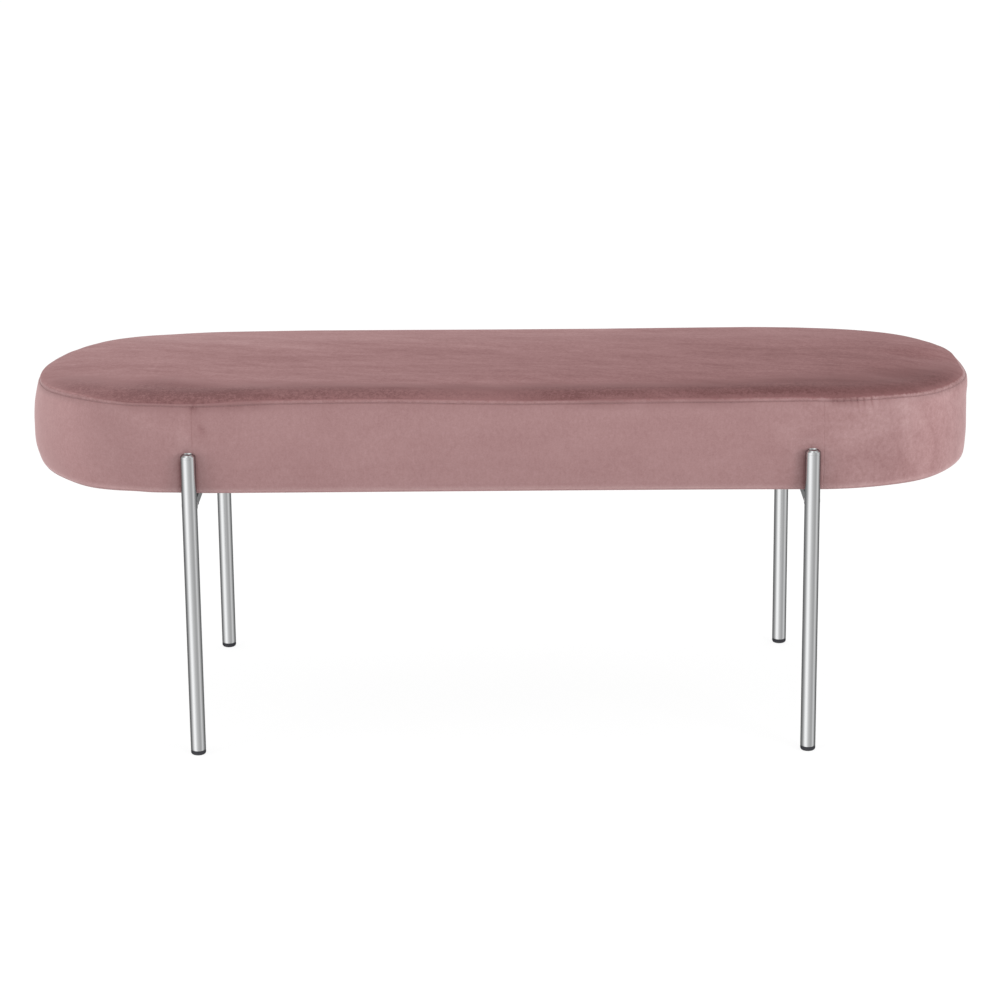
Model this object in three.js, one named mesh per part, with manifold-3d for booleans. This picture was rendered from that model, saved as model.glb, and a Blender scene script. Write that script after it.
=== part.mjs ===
import * as THREE from 'three';
import { mergeVertices } from 'three/addons/utils/BufferGeometryUtils.js';
import Module from 'manifold-3d';

// Upholstered bench: a racetrack seat on tube legs that stand outside its long sides.
// Millimetres, +Z up. X runs along the seat, the front is at -Y and the floor is at z = 0.

// Seat outline and heights
const seatLength = 1200;
const seatDepth = 416;
const seatUnderside = 333;
const sideHeight = 117;
const crownRise = 9.6;
const crownReach = 85;

// Cover: how far the side is drawn in at the seam and at the hem, and its topstitched seam
const coverThickness = 1.5;
const seamInset = 5.5;
const hemInset = 2.5;
const hemRadius = 9;
const hemWidth = 30;
const stitchDrop = 4.5;
const stitchDepth = 0.9;
const seamSwell = 1.3;
const fullestShare = 0.52;

// Upright band seams, measured from where the straight side turns into the round end
const leftSeamShift = 15;
const rightSeamShift = -6;

// Wooden box, foam and dust cover
const woodInset = 13;
const boardThickness = 12;
const railThickness = 15;
const ribThickness = 18;
const ribPlaceShare = 0.65;
const deckThickness = 9;
const foamEdge = 54;
const dustCoverThickness = 0.5;
const dustCoverInset = 18;

// Legs, caps and feet; each leg is set back from where the round end starts and rises past the
// seat's underside
const tubeRadius = 9.5;
const tubeWall = 1.5;
const legRise = 56;
const legSetback = 9;
const legClearance = 0.5;
const capHeight = 5.2;
const capChamferWidth = 3;
const capChamferHeight = 2.8;
const capRim = 0.5;
const capStem = 8;
const footHeight = 6;
const footRound = 3;
const footStem = 20;
const footRibDepth = 0.8;
const footRibWidth = 2;
const footRibCount = 3;

// Rail bolts with their saddle washers and tee nuts
const boltRadius = 3;
const boltLength = 40;
const boltHeadRadius = 5.3;
const boltHeadHeight = 3.2;
const boltHeadRound = 1.4;
const socketRadius = 2;
const socketDepth = 1.8;
const washerRadius = 6.5;
const washerNeck = 1.2;
const nutFlangeRadius = 8.5;
const nutFlangeThickness = 1.5;
const nutBarrelWall = 0.9;
const nutBarrelLength = 9;

// Clearance between curved or cut neighbours, and the overrun of every cut
const gap = 0.3;
const overrun = 5;

// Facets round a seat end, a tube and a screw
const endSteps = 24;
const tubeSides = 24;
const turnedSides = 16;
const screwSides = 12;

// Heights from the floor up
const hemUnderside = seatUnderside + dustCoverThickness;
const boardUnderside = hemUnderside + coverThickness;
const boardTop = boardUnderside + boardThickness;
const seamHeight = seatUnderside + sideHeight;
const legHeight = seatUnderside + legRise;
const deckTop = seamHeight - foamEdge;
const deckUnderside = deckTop - deckThickness;
const hemTop = hemUnderside + hemRadius;
const stitchHeight = seamHeight - stitchDrop;

// Places of the legs, rails and bolts
const halfDepth = seatDepth / 2;
const endCentre = (seatLength - seatDepth) / 2;
const boreRadius = tubeRadius - tubeWall;
const legX = endCentre - legSetback;
const legY = halfDepth + legClearance + tubeRadius;
const railAxis = seatUnderside - gap - tubeRadius;
const nutReach = nutFlangeRadius + gap;
const boltY = halfDepth - Math.max(hemWidth, woodInset + railThickness) - nutReach;
const boltSeat = railAxis - tubeRadius - gap - washerNeck;

const finishes = {
  velvet: { color: '#a98585', roughness: 0.9, metalness: 0 },
  steel: { color: '#c8cacc', roughness: 0.25, metalness: 1 },
  zinc: { color: '#b3b7ba', roughness: 0.4, metalness: 1 },
  rubber: { color: '#46464c', roughness: 0.7, metalness: 0 },
  plywood: { color: '#cda873', roughness: 0.8, metalness: 0 },
  foam: { color: '#efe3bd', roughness: 1, metalness: 0 },
  wadding: { color: '#f1efe9', roughness: 1, metalness: 0 },
  liner: { color: '#232326', roughness: 0.95, metalness: 0 },
};

const bench = new THREE.Group();
const wasm = await Module();
wasm.setup();

// Adds a named piece to the bench
function place(name, geometry, finish, x = 0, y = 0, z = 0) {
  const piece = new THREE.Mesh(geometry, new THREE.MeshStandardMaterial(finishes[finish]));
  piece.name = name;
  piece.position.set(x, y, z);
  bench.add(piece);
}

// Turns a closed geometry's faces outwards
function facingOut(geometry) {
  const corner = [new THREE.Vector3(), new THREE.Vector3(), new THREE.Vector3()];
  const index = geometry.index.array;
  let volume = 0;
  for (let i = 0; i < index.length; i += 3) {
    corner.forEach((point, k) => point.fromBufferAttribute(geometry.attributes.position, index[i + k]));
    volume += corner[0].dot(corner[1].cross(corner[2]));
  }
  if (volume < 0) {
    for (let i = 0; i < index.length; i += 3) {
      [index[i], index[i + 1]] = [index[i + 1], index[i]];
    }
  }
  geometry.computeVertexNormals();
  return geometry;
}

// A solid for cutting, made from a closed geometry
function solidFrom(geometry) {
  const bare = geometry.clone();
  bare.deleteAttribute('normal');
  bare.deleteAttribute('uv');
  const merged = mergeVertices(bare);
  const mesh = new wasm.Mesh({
    numProp: 3,
    vertProperties: merged.attributes.position.array,
    triVerts: new Uint32Array(merged.index.array),
  });
  return new wasm.Manifold(mesh);
}

// The geometry of a solid that has been cut
function geometryFrom(solid) {
  const mesh = solid.getMesh();
  const geometry = new THREE.BufferGeometry();
  geometry.setAttribute('position', new THREE.BufferAttribute(mesh.vertProperties, 3));
  geometry.setIndex(new THREE.BufferAttribute(mesh.triVerts, 1));
  geometry.computeVertexNormals();
  return geometry;
}

// A cylinder along Y, or upright when it is turned, centred on the given place
function rod(radius, length, sides, x, y, z, upright) {
  const geometry = new THREE.CylinderGeometry(radius, radius, length, sides);
  if (upright) {
    geometry.rotateX(Math.PI / 2);
  }
  geometry.translate(x, y, z);
  return solidFrom(geometry);
}

// A turned piece about Z, from [radius, height] pairs
function turned(pairs, sides) {
  const points = pairs.map(([radius, height]) => new THREE.Vector2(radius, height));
  const geometry = new THREE.LatheGeometry(points, sides);
  geometry.rotateX(Math.PI / 2);
  return facingOut(geometry);
}

// Racetrack outline
// A station is a point on the seat's middle line and the outward angle there. The outline at any
// inset is one step out from the stations, so the cover, foam and frame share them. A lap is the
// distance along the outer outline, anticlockwise from the middle of the front.
const arcLap = Math.PI * halfDepth;
const wholeLap = 4 * endCentre + 2 * arcLap;
const rightArcStart = endCentre;
const leftArcStart = 3 * endCentre + arcLap;

function stationAt(lap) {
  const along = ((lap % wholeLap) + wholeLap) % wholeLap;
  const intoRight = along - rightArcStart;
  const intoLeft = along - leftArcStart;
  if (intoRight < 0) {
    return { x: along, angle: -Math.PI / 2 };
  }
  if (intoRight <= arcLap) {
    return { x: endCentre, angle: intoRight / halfDepth - Math.PI / 2 };
  }
  if (intoLeft < 0) {
    return { x: endCentre - (intoRight - arcLap), angle: Math.PI / 2 };
  }
  if (intoLeft <= arcLap) {
    return { x: -endCentre, angle: intoLeft / halfDepth + Math.PI / 2 };
  }
  return { x: along - wholeLap, angle: -Math.PI / 2 };
}

// The laps of both round ends' facets
function arcLaps() {
  const laps = [];
  for (const start of [rightArcStart, leftArcStart]) {
    for (let step = 0; step <= endSteps; step += 1) {
      laps.push(start + (arcLap * step) / endSteps);
    }
  }
  return laps;
}

// Stations of the whole outline, and of a run between two laps
const allRound = arcLaps().map(stationAt);

function run(from, to) {
  const leastShare = 0.1;
  const least = (arcLap / endSteps) * leastShare;
  const twoLaps = arcLaps().flatMap((lap) => [lap - wholeLap, lap]).sort((a, b) => a - b);
  const between = twoLaps.filter((lap) => lap > from + least && lap < to - least);
  return [from, ...between, to].map(stationAt);
}

function outlinePoint(station, inset, height) {
  const reach = halfDepth - inset;
  const x = station.x + Math.cos(station.angle) * reach;
  return new THREE.Vector3(x, Math.sin(station.angle) * reach, height);
}

// Skins rings of points into a closed body. Rings that don't join up get a cap at each end,
// triangulated on the ring's own flat contour.
function skin(rings, contour, joined) {
  const across = contour.length;
  const index = [];
  const ringCount = joined ? rings.length : rings.length - 1;
  for (let ring = 0; ring < ringCount; ring += 1) {
    const here = ring * across;
    const next = ((ring + 1) % rings.length) * across;
    for (let column = 0; column < across; column += 1) {
      const beside = (column + 1) % across;
      index.push(here + column, here + beside, next + beside);
      index.push(here + column, next + beside, next + column);
    }
  }
  if (!joined) {
    const clockwise = THREE.ShapeUtils.area(contour) < 0;
    const last = (rings.length - 1) * across;
    for (const [a, b, c] of THREE.ShapeUtils.triangulateShape([...contour], [])) {
      const turn = THREE.ShapeUtils.area([contour[a], contour[b], contour[c]]) < 0;
      const [p, q] = turn === clockwise ? [a, b] : [b, a];
      index.push(last + p, last + q, last + c);
      index.push(q, p, c);
    }
  }
  const geometry = new THREE.BufferGeometry().setFromPoints(rings.flat());
  geometry.setIndex(index);
  return facingOut(geometry);
}

// Carries a section of (inset, height) points along stations
function sweep(section, stations, joined = false) {
  const rings = stations.map((at) => section.map((point) => outlinePoint(at, point.x, point.y)));
  return skin(rings, section, joined);
}

// Stacks whole outlines at the profile's (inset, height) points, with a flat cap at both ends
function stack(profile) {
  const rings = profile.map((point) => allRound.map((at) => outlinePoint(at, point.x, point.y)));
  const contour = rings[0].map((point) => new THREE.Vector2(point.x, point.y));
  return skin(rings, contour, false);
}

// Moves a line of points sideways by a distance; its two ends move along given directions
function offsetLine(points, distance, first, last) {
  const sharpest = 0.5;
  return points.map((point, i) => {
    if (i === 0) {
      return point.clone().addScaledVector(first, distance);
    }
    if (i === points.length - 1) {
      return point.clone().addScaledVector(last, distance);
    }
    const before = point.clone().sub(points[i - 1]).normalize();
    const after = points[i + 1].clone().sub(point).normalize();
    const along = before.clone().add(after).normalize();
    const normal = new THREE.Vector2(-along.y, along.x);
    const stretch = 1 / Math.max(along.dot(after), sharpest);
    return point.clone().addScaledVector(normal, distance * stretch);
  });
}

const inwards = new THREE.Vector2(1, 0);
const upwards = new THREE.Vector2(0, 1);

// Cover sections
// The side swells from the stitch line to its fullest line and draws in again at the hem.
function sideInset(height) {
  const fullest = hemTop + (stitchHeight - hemTop) * fullestShare;
  if (height > fullest) {
    return (seamInset + stitchDepth) * ((height - fullest) / (stitchHeight - fullest)) ** 2;
  }
  return hemInset * ((fullest - height) / (fullest - hemTop)) ** 2;
}

// Heights down the side that the band, foam and wadding share
const shoulderShares = [0, 0.12, 0.4, 0.7];
const skirtShares = [0, 0.35, 0.7, 1];
const shoulderHeights = shoulderShares.map((share) => stitchHeight - (stitchHeight - deckTop) * share);
const skirtHeights = skirtShares.map((share) => deckTop - (deckTop - hemTop) * share);

// Outer line of the band: seam, rolled seam allowance, stitch groove, side, hem and turned-in edge
function bandLine() {
  const points = [new THREE.Vector2(seamInset, seamHeight)];
  points.push(new THREE.Vector2(seamInset - seamSwell, seamHeight - stitchDrop / 2));
  for (const height of [...shoulderHeights, ...skirtHeights]) {
    points.push(new THREE.Vector2(sideInset(height), height));
  }
  const hemShares = [0.33, 0.67, 1];
  for (const share of hemShares) {
    const angle = (Math.PI / 2) * share;
    const inset = hemInset + hemRadius * (1 - Math.cos(angle));
    points.push(new THREE.Vector2(inset, hemTop - hemRadius * Math.sin(angle)));
  }
  points.push(new THREE.Vector2(hemWidth, hemUnderside));
  return points;
}

// Outer line of the top panel, from the seam to the edge of its level middle
function crownLine() {
  const reachShares = [0, 0.012, 0.05, 0.13, 0.27, 0.45, 0.7, 1];
  const fullness = 2.4;
  const roundness = 0.6;
  return reachShares.map((share) => {
    const rise = (1 - (1 - share) ** fullness) ** roundness;
    return new THREE.Vector2(seamInset + crownReach * share, seamHeight + crownRise * rise);
  });
}

// Cover: crowned top panel and four lengths of band
function addCover() {
  const crown = crownLine();
  const crownInside = offsetLine(crown, -coverThickness, inwards.clone().negate(), upwards);
  place('cover_top_panel', stack([...crownInside.reverse(), ...crown]), 'velvet');

  const band = bandLine();
  const bandInside = offsetLine(band, coverThickness, inwards, upwards);
  const section = [...band, ...bandInside.reverse()];
  const frontLeft = leftSeamShift - endCentre;
  const frontRight = endCentre - rightSeamShift;
  const rearRight = wholeLap / 2 - frontRight;
  const rearLeft = wholeLap / 2 - frontLeft;
  place('cover_band_front', sweep(section, run(frontLeft, frontRight)), 'velvet');
  place('cover_band_right', sweep(section, run(frontRight, rearRight)), 'velvet');
  place('cover_band_rear', sweep(section, run(rearRight, rearLeft)), 'velvet');
  place('cover_band_left', sweep(section, run(rearLeft, wholeLap + frontLeft)), 'velvet');
}

// Foam pad on the deck, cut off just short of the seam, and wadding round the wooden box, both a
// gap inside the cover
function addPadding() {
  const lining = coverThickness + gap;
  const shoulder = [deckTop, ...[...shoulderHeights].reverse()].map(
    (height) => new THREE.Vector2(sideInset(height) + lining, height),
  );
  const [, ...crown] = offsetLine(crownLine(), -lining, inwards.clone().negate(), upwards);
  place('foam_pad', stack([...shoulder, ...crown]), 'foam');

  const skirt = skirtHeights.map((height) => new THREE.Vector2(sideInset(height) + lining, height));
  const againstWood = woodInset - gap;
  skirt.push(new THREE.Vector2(againstWood, boardUnderside + gap));
  skirt.push(new THREE.Vector2(againstWood, deckTop));
  place('side_wadding', sweep(skirt, allRound, true), 'wadding');
}

// A flat racetrack plate with round holes where the rail bolts pass
function plate(inset, thickness, holeRadius) {
  const outline = allRound.map((at) => outlinePoint(at, inset, 0));
  const shape = new THREE.Shape(outline.map((point) => new THREE.Vector2(point.x, point.y)));
  if (holeRadius > 0) {
    for (const { x, y } of boltPlaces()) {
      shape.holes.push(new THREE.Path().absarc(x, y, holeRadius, 0, 2 * Math.PI, true));
    }
  }
  const settings = { depth: thickness, bevelEnabled: false, curveSegments: screwSides / 2 };
  return new THREE.ExtrudeGeometry(shape, settings);
}

// Wooden box: base board, rails, bent end rims, ribs and the deck that carries the foam
function addFrame() {
  const nutBarrelRadius = boltRadius + gap + nutBarrelWall;
  const base = plate(woodInset, boardThickness, nutBarrelRadius + gap);
  place('base_board', base, 'plywood', 0, 0, boardUnderside);
  place('top_deck', plate(woodInset, deckThickness, 0), 'plywood', 0, 0, deckUnderside);

  const wallHeight = deckUnderside - boardTop;
  const wallMiddle = (deckUnderside + boardTop) / 2;
  const railY = halfDepth - woodInset - railThickness / 2;
  const railShape = new THREE.BoxGeometry(2 * endCentre, railThickness, wallHeight);
  place('frame_rail_front', railShape, 'plywood', 0, -railY, wallMiddle);
  place('frame_rail_rear', railShape, 'plywood', 0, railY, wallMiddle);

  const rimSection = [
    new THREE.Vector2(woodInset, boardTop),
    new THREE.Vector2(woodInset + railThickness, boardTop),
    new THREE.Vector2(woodInset + railThickness, deckUnderside),
    new THREE.Vector2(woodInset, deckUnderside),
  ];
  const rightRun = run(rightArcStart, rightArcStart + arcLap);
  const leftRun = run(leftArcStart, leftArcStart + arcLap);
  place('end_rim_right', sweep(rimSection, rightRun), 'plywood');
  place('end_rim_left', sweep(rimSection, leftRun), 'plywood');

  const ribLength = 2 * (halfDepth - woodInset - railThickness);
  const ribShape = new THREE.BoxGeometry(ribThickness, ribLength, wallHeight);
  const ribX = legX * ribPlaceShare;
  for (const [name, side] of [['left', -1], ['middle', 0], ['right', 1]]) {
    place(`frame_rib_${name}`, ribShape, 'plywood', side * ribX, 0, wallMiddle);
  }

  const liner = plate(dustCoverInset, dustCoverThickness, boltRadius + gap);
  place('dust_cover', liner, 'liner', 0, 0, seatUnderside);
}

// The four legs' places and names
function legPlaces() {
  const places = [];
  for (const [depthName, ySide] of [['front', -1], ['rear', 1]]) {
    for (const [sideName, xSide] of [['left', -1], ['right', 1]]) {
      places.push({ name: `${depthName}_${sideName}`, x: xSide * legX, y: ySide * legY });
    }
  }
  return places;
}

// The rail bolts' places and names, three along each cross rail
function boltPlaces() {
  const places = [];
  for (const [sideName, xSide] of [['left', -1], ['right', 1]]) {
    for (const [depthName, ySide] of [['front', -1], ['middle', 0], ['rear', 1]]) {
      places.push({ name: `${sideName}_${depthName}`, x: xSide * legX, y: ySide * boltY });
    }
  }
  return places;
}

// Leg tube, open at both ends
function legTube() {
  const tubeTop = legHeight - capHeight;
  return turned(
    [
      [boreRadius, footHeight],
      [tubeRadius, footHeight],
      [tubeRadius, tubeTop],
      [boreRadius, tubeTop],
      [boreRadius, footHeight],
    ],
    tubeSides,
  );
}

// Cap with a tall chamfer, a broken edge round its flat top and a stem in the tube's top
function topCap() {
  const tubeTop = legHeight - capHeight;
  const stemRadius = boreRadius - gap;
  const topRadius = tubeRadius - capChamferWidth;
  return turned(
    [
      [0, tubeTop - capStem],
      [stemRadius, tubeTop - capStem],
      [stemRadius, tubeTop],
      [tubeRadius, tubeTop],
      [tubeRadius, legHeight - capChamferHeight],
      [topRadius + capRim, legHeight - capRim],
      [topRadius, legHeight],
      [0, legHeight],
    ],
    tubeSides,
  );
}

// Rounded foot with a ribbed stem in the tube's lower end
function foot() {
  const ribRadius = boreRadius - gap;
  const coreRadius = ribRadius - footRibDepth;
  const roundShares = [0, 0.5, 1];
  const pairs = [[0, 0]];
  for (const share of roundShares) {
    const angle = (Math.PI / 2) * share;
    const radius = tubeRadius - footRound * (1 - Math.sin(angle));
    pairs.push([radius, footRound * (1 - Math.cos(angle))]);
  }
  pairs.push([tubeRadius, footHeight], [coreRadius, footHeight]);
  const pitch = footStem / (footRibCount + 1);
  for (let rib = 1; rib <= footRibCount; rib += 1) {
    const middle = footHeight + pitch * rib;
    pairs.push([coreRadius, middle - footRibWidth / 2]);
    pairs.push([ribRadius, middle]);
    pairs.push([coreRadius, middle + footRibWidth / 2]);
  }
  pairs.push([coreRadius, footHeight + footStem], [0, footHeight + footStem]);
  return turned(pairs, turnedSides);
}

// Cross rail: a tube coped round both legs and drilled for its bolts, drawn about its own axis
function crossRail() {
  const reach = 2 * legY;
  let rail = rod(tubeRadius, reach, tubeSides, 0, 0, 0, false);
  rail = rail.subtract(rod(boreRadius, reach + overrun, tubeSides, 0, 0, 0, false));
  const cutHeight = 2 * (tubeRadius + overrun);
  for (const y of [-legY, legY]) {
    rail = rail.subtract(rod(tubeRadius + gap, cutHeight, tubeSides, 0, y, 0, true));
  }
  for (const y of [-boltY, 0, boltY]) {
    rail = rail.subtract(rod(boltRadius + gap, cutHeight, screwSides, 0, y, 0, true));
  }
  return geometryFrom(rail);
}

function addLegs() {
  for (const { name, x, y } of legPlaces()) {
    place(`leg_tube_${name}`, legTube(), 'steel', x, y);
    place(`leg_cap_${name}`, topCap(), 'steel', x, y);
    place(`foot_${name}`, foot(), 'rubber', x, y);
  }
  place('cross_rail_left', crossRail(), 'steel', -legX, 0, railAxis);
  place('cross_rail_right', crossRail(), 'steel', legX, 0, railAxis);
}

// Button-head bolt, seated at z = 0, with its shank up and a socket in its head
function railBolt() {
  return turned(
    [
      [0, socketDepth - boltHeadHeight],
      [socketRadius, socketDepth - boltHeadHeight],
      [socketRadius, -boltHeadHeight],
      [boltHeadRadius - boltHeadRound, -boltHeadHeight],
      [boltHeadRadius, boltHeadRound - boltHeadHeight],
      [boltHeadRadius, 0],
      [boltRadius, 0],
      [boltRadius, boltLength],
      [0, boltLength],
    ],
    screwSides,
  );
}

// Washer with a hollow that seats against the round rail, drawn from its flat face up
function saddleWasher() {
  const hollowRadius = tubeRadius + gap;
  const axisHeight = hollowRadius + washerNeck;
  const rimHeight = axisHeight - Math.sqrt(hollowRadius ** 2 - washerRadius ** 2);
  const blank = rod(washerRadius, rimHeight, screwSides, 0, 0, rimHeight / 2, true);
  const hollow = rod(hollowRadius, 2 * washerRadius + overrun, tubeSides, 0, 0, axisHeight, false);
  const hole = rod(boltRadius + gap, rimHeight + overrun, screwSides, 0, 0, rimHeight / 2, true);
  return geometryFrom(blank.subtract(hollow).subtract(hole));
}

// Tee nut with its flange on the board and its barrel in the hole, drawn from the board's top
function teeNut() {
  const threadRadius = boltRadius + gap;
  const barrelRadius = threadRadius + nutBarrelWall;
  return turned(
    [
      [threadRadius, -nutBarrelLength],
      [barrelRadius, -nutBarrelLength],
      [barrelRadius, 0],
      [nutFlangeRadius, 0],
      [nutFlangeRadius, nutFlangeThickness],
      [threadRadius, nutFlangeThickness],
      [threadRadius, -nutBarrelLength],
    ],
    screwSides,
  );
}

function addFixings() {
  for (const { name, x, y } of boltPlaces()) {
    place(`rail_bolt_${name}`, railBolt(), 'zinc', x, y, boltSeat);
    place(`saddle_washer_${name}`, saddleWasher(), 'zinc', x, y, boltSeat);
    place(`tee_nut_${name}`, teeNut(), 'zinc', x, y, boardTop);
  }
}

addLegs();
addFixings();
addFrame();
addPadding();
addCover();

export default bench;
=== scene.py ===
import math

import bmesh
import bpy
import numpy as np
from mathutils import Matrix, Vector


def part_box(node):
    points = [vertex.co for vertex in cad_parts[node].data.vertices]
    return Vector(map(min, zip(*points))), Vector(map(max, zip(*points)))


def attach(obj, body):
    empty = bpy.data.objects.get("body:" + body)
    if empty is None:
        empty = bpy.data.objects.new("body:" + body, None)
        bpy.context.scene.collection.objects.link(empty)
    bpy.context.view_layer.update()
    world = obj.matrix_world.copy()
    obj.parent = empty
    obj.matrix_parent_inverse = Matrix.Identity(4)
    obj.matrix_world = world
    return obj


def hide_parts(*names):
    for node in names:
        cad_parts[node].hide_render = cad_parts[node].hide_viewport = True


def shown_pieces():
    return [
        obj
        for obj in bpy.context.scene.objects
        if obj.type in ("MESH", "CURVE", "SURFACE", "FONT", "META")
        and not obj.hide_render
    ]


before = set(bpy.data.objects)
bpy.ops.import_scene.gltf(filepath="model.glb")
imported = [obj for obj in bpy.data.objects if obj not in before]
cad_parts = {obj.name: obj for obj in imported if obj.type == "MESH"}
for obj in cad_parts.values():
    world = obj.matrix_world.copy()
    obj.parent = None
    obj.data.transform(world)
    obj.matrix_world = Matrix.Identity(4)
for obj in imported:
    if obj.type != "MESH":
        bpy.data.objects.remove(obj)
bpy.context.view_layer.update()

# Upholstered bench: a racetrack seat in velvet on round steel legs that stand outside its long sides.
# Metres, +Z up. X runs along the seat, the front is at -Y and the floor is at z = 0.

MM = 0.001

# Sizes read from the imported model
HALF_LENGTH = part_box("cover_band_right")[1].x
HALF_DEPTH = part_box("cover_band_rear")[1].y
END_CENTRE = HALF_LENGTH - HALF_DEPTH
LAP_LENGTH = 4 * END_CENTRE + 2 * math.pi * HALF_DEPTH
HEM_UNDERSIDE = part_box("cover_band_front")[0].z
SEAM_HEIGHT, CROWN_TOP = (corner.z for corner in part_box("cover_top_panel"))
DECK_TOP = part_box("top_deck")[1].z
BOARD_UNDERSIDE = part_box("base_board")[0].z
LINER_LOW, LINER_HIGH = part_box("dust_cover")
LEG_LOW, LEG_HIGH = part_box("leg_tube_front_right")
LEG_X = (LEG_LOW.x + LEG_HIGH.x) / 2
LEG_Y = -(LEG_LOW.y + LEG_HIGH.y) / 2
TUBE_RADIUS = (LEG_HIGH.x - LEG_LOW.x) / 2
CAP_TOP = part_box("leg_cap_front_right")[1].z
RAIL_LOW, RAIL_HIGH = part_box("cross_rail_right")
RAIL_AXIS = (RAIL_LOW.z + RAIL_HIGH.z) / 2

# Cover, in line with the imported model's section
COVER_THICKNESS = 1.2 * MM
LINING = 3.6 * MM
CROWN_REACH = 85 * MM
SEAM_INSET = 5.5 * MM
HEM_INSET = 2.5 * MM
HEM_RADIUS = 9 * MM
HEM_WIDTH = 30 * MM
STITCH_DROP = 4.5 * MM
STITCH_DEPTH = 0.9 * MM
FULLEST_SHARE = 0.52
LEFT_SEAM_X = -END_CENTRE + 13.5 * MM
RIGHT_SEAM_X = END_CENTRE + 5.4 * MM

# Heights on the band
HEM_TOP = HEM_UNDERSIDE + HEM_RADIUS
STITCH_HEIGHT = SEAM_HEIGHT - STITCH_DROP
FULLEST_HEIGHT = HEM_TOP + (STITCH_HEIGHT - HEM_TOP) * FULLEST_SHARE
STITCH_BOTTOM = (6.9 * MM, STITCH_HEIGHT)

# Distances along the section from the seam, less than zero below it: where the hem's curve starts and ends
HEM_RUN = HEM_TOP - SEAM_HEIGHT - 2.1 * MM
UNDERSIDE_RUN = -120 * MM

# Mesh steps of the cover before it is subdivided, with finer columns beside its upright seams and gathers
END_STEPS = 52
STRAIGHT_STEPS = 64
SEAM_COLUMNS = (-4.5 * MM, -1.5 * MM, 0, 1.5 * MM, 4.5 * MM)
GATHER_STEPS = range(2, 13)


# Small helpers

def empty_mesh_object(name):
    piece = bpy.data.objects.new(name, bpy.data.meshes.new(name))
    bpy.context.scene.collection.objects.link(piece)
    return piece


def write_mesh(piece, bm):
    """Writes a bmesh into a piece, smoothly shaded, and frees it."""
    for face in bm.faces:
        face.smooth = True
    bm.to_mesh(piece.data)
    bm.free()
    return piece


def new_piece(name, bm):
    return write_mesh(empty_mesh_object(name), bm)


def finished(piece, slot, *nodes, sharp=None):
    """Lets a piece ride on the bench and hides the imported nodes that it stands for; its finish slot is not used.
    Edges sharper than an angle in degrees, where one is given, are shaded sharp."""
    if sharp:
        piece.data.set_sharp_from_angle(angle=math.radians(sharp))
    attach(piece, "root")
    if nodes:
        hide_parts(*nodes)


def smooth_step(low, high, value):
    """0 below low, 1 above high and a smooth rise between, for numbers and arrays."""
    share = np.clip((value - low) / (high - low), 0, 1)
    return share * share * (3 - 2 * share)


def bump(value, centre, width):
    """A soft hill of height 1 at centre."""
    return np.exp(-((value - centre) / width) ** 2)


def points_of(mesh):
    """The vertices' places as an array of rows."""
    places = np.zeros(len(mesh.vertices) * 3)
    mesh.vertices.foreach_get("co", places)
    return places.reshape(-1, 3)


def set_points(mesh, places):
    mesh.vertices.foreach_set("co", places.ravel())
    mesh.update()


def give_attribute(mesh, name, values):
    """Stores one number for each vertex, which a material reads by name."""
    attribute = mesh.attributes.get(name) or mesh.attributes.new(name, "FLOAT", "POINT")
    attribute.data.foreach_set("value", np.asarray(values, np.float32))


def read_attribute(mesh, name):
    values = np.zeros(len(mesh.vertices), np.float32)
    mesh.attributes[name].data.foreach_get("value", values)
    return values


# Seat section

def side_inset(height):
    """How far the side lies inside the seat's outline, nothing where it is fullest."""
    if height > FULLEST_HEIGHT:
        share = (height - FULLEST_HEIGHT) / (STITCH_HEIGHT - FULLEST_HEIGHT)
        return (SEAM_INSET + STITCH_DEPTH) * share ** 2
    share = (FULLEST_HEIGHT - height) / (FULLEST_HEIGHT - HEM_TOP)
    return HEM_INSET * share ** 2


def band_rows():
    """(inset, height) pairs from the turned-in edge up to the seam, with the stitch groove and the roll."""
    rows = [(HEM_WIDTH, HEM_UNDERSIDE), (HEM_WIDTH * 0.66, HEM_UNDERSIDE)]
    for share in (1, 0.66, 0.33):
        angle = math.pi / 2 * share
        inset = HEM_INSET + HEM_RADIUS * (1 - math.cos(angle))
        rows.append((inset, HEM_TOP - HEM_RADIUS * math.sin(angle)))
    side_shares = (0, 0.1, 0.22, 0.36, 0.5, 0.64, 0.77, 0.88, 0.95)
    for share in side_shares:
        height = HEM_TOP + (STITCH_HEIGHT - HEM_TOP) * share
        rows.append((side_inset(height), height))
    for rise, inset in ((-1.9, 5.9), (-0.9, 6.1), (-0.4, 6.6)):
        rows.append((inset * MM, STITCH_HEIGHT + rise * MM))
    rows.append(STITCH_BOTTOM)
    for rise, inset in ((0.5, 6.4), (1.2, 5.6), (2.3, 5.2), (3.4, 5.3)):
        rows.append((inset * MM, STITCH_HEIGHT + rise * MM))
    rows.append((6.0 * MM, SEAM_HEIGHT - 0.4 * MM))
    return rows


def crown_height(share, top):
    """Height of the crown at a share of its reach in from the seam: steep at first, level at the end."""
    return SEAM_HEIGHT + (top - SEAM_HEIGHT) * (1 - (1 - share) ** 2.4) ** 0.6


def crown_rows():
    """(inset, height) pairs from the seam up over the crown to the middle of the seat."""
    rows = [(6.6 * MM, SEAM_HEIGHT)]
    for share in (0.004, 0.022, 0.07, 0.16, 0.3, 0.5, 0.75, 1):
        rows.append((SEAM_INSET + CROWN_REACH * share, crown_height(share, CROWN_TOP)))
    middle = SEAM_INSET + CROWN_REACH
    for share in (0.33, 0.66, 1):
        rows.append((middle + (HALF_DEPTH - middle) * share, CROWN_TOP))
    return rows


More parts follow.
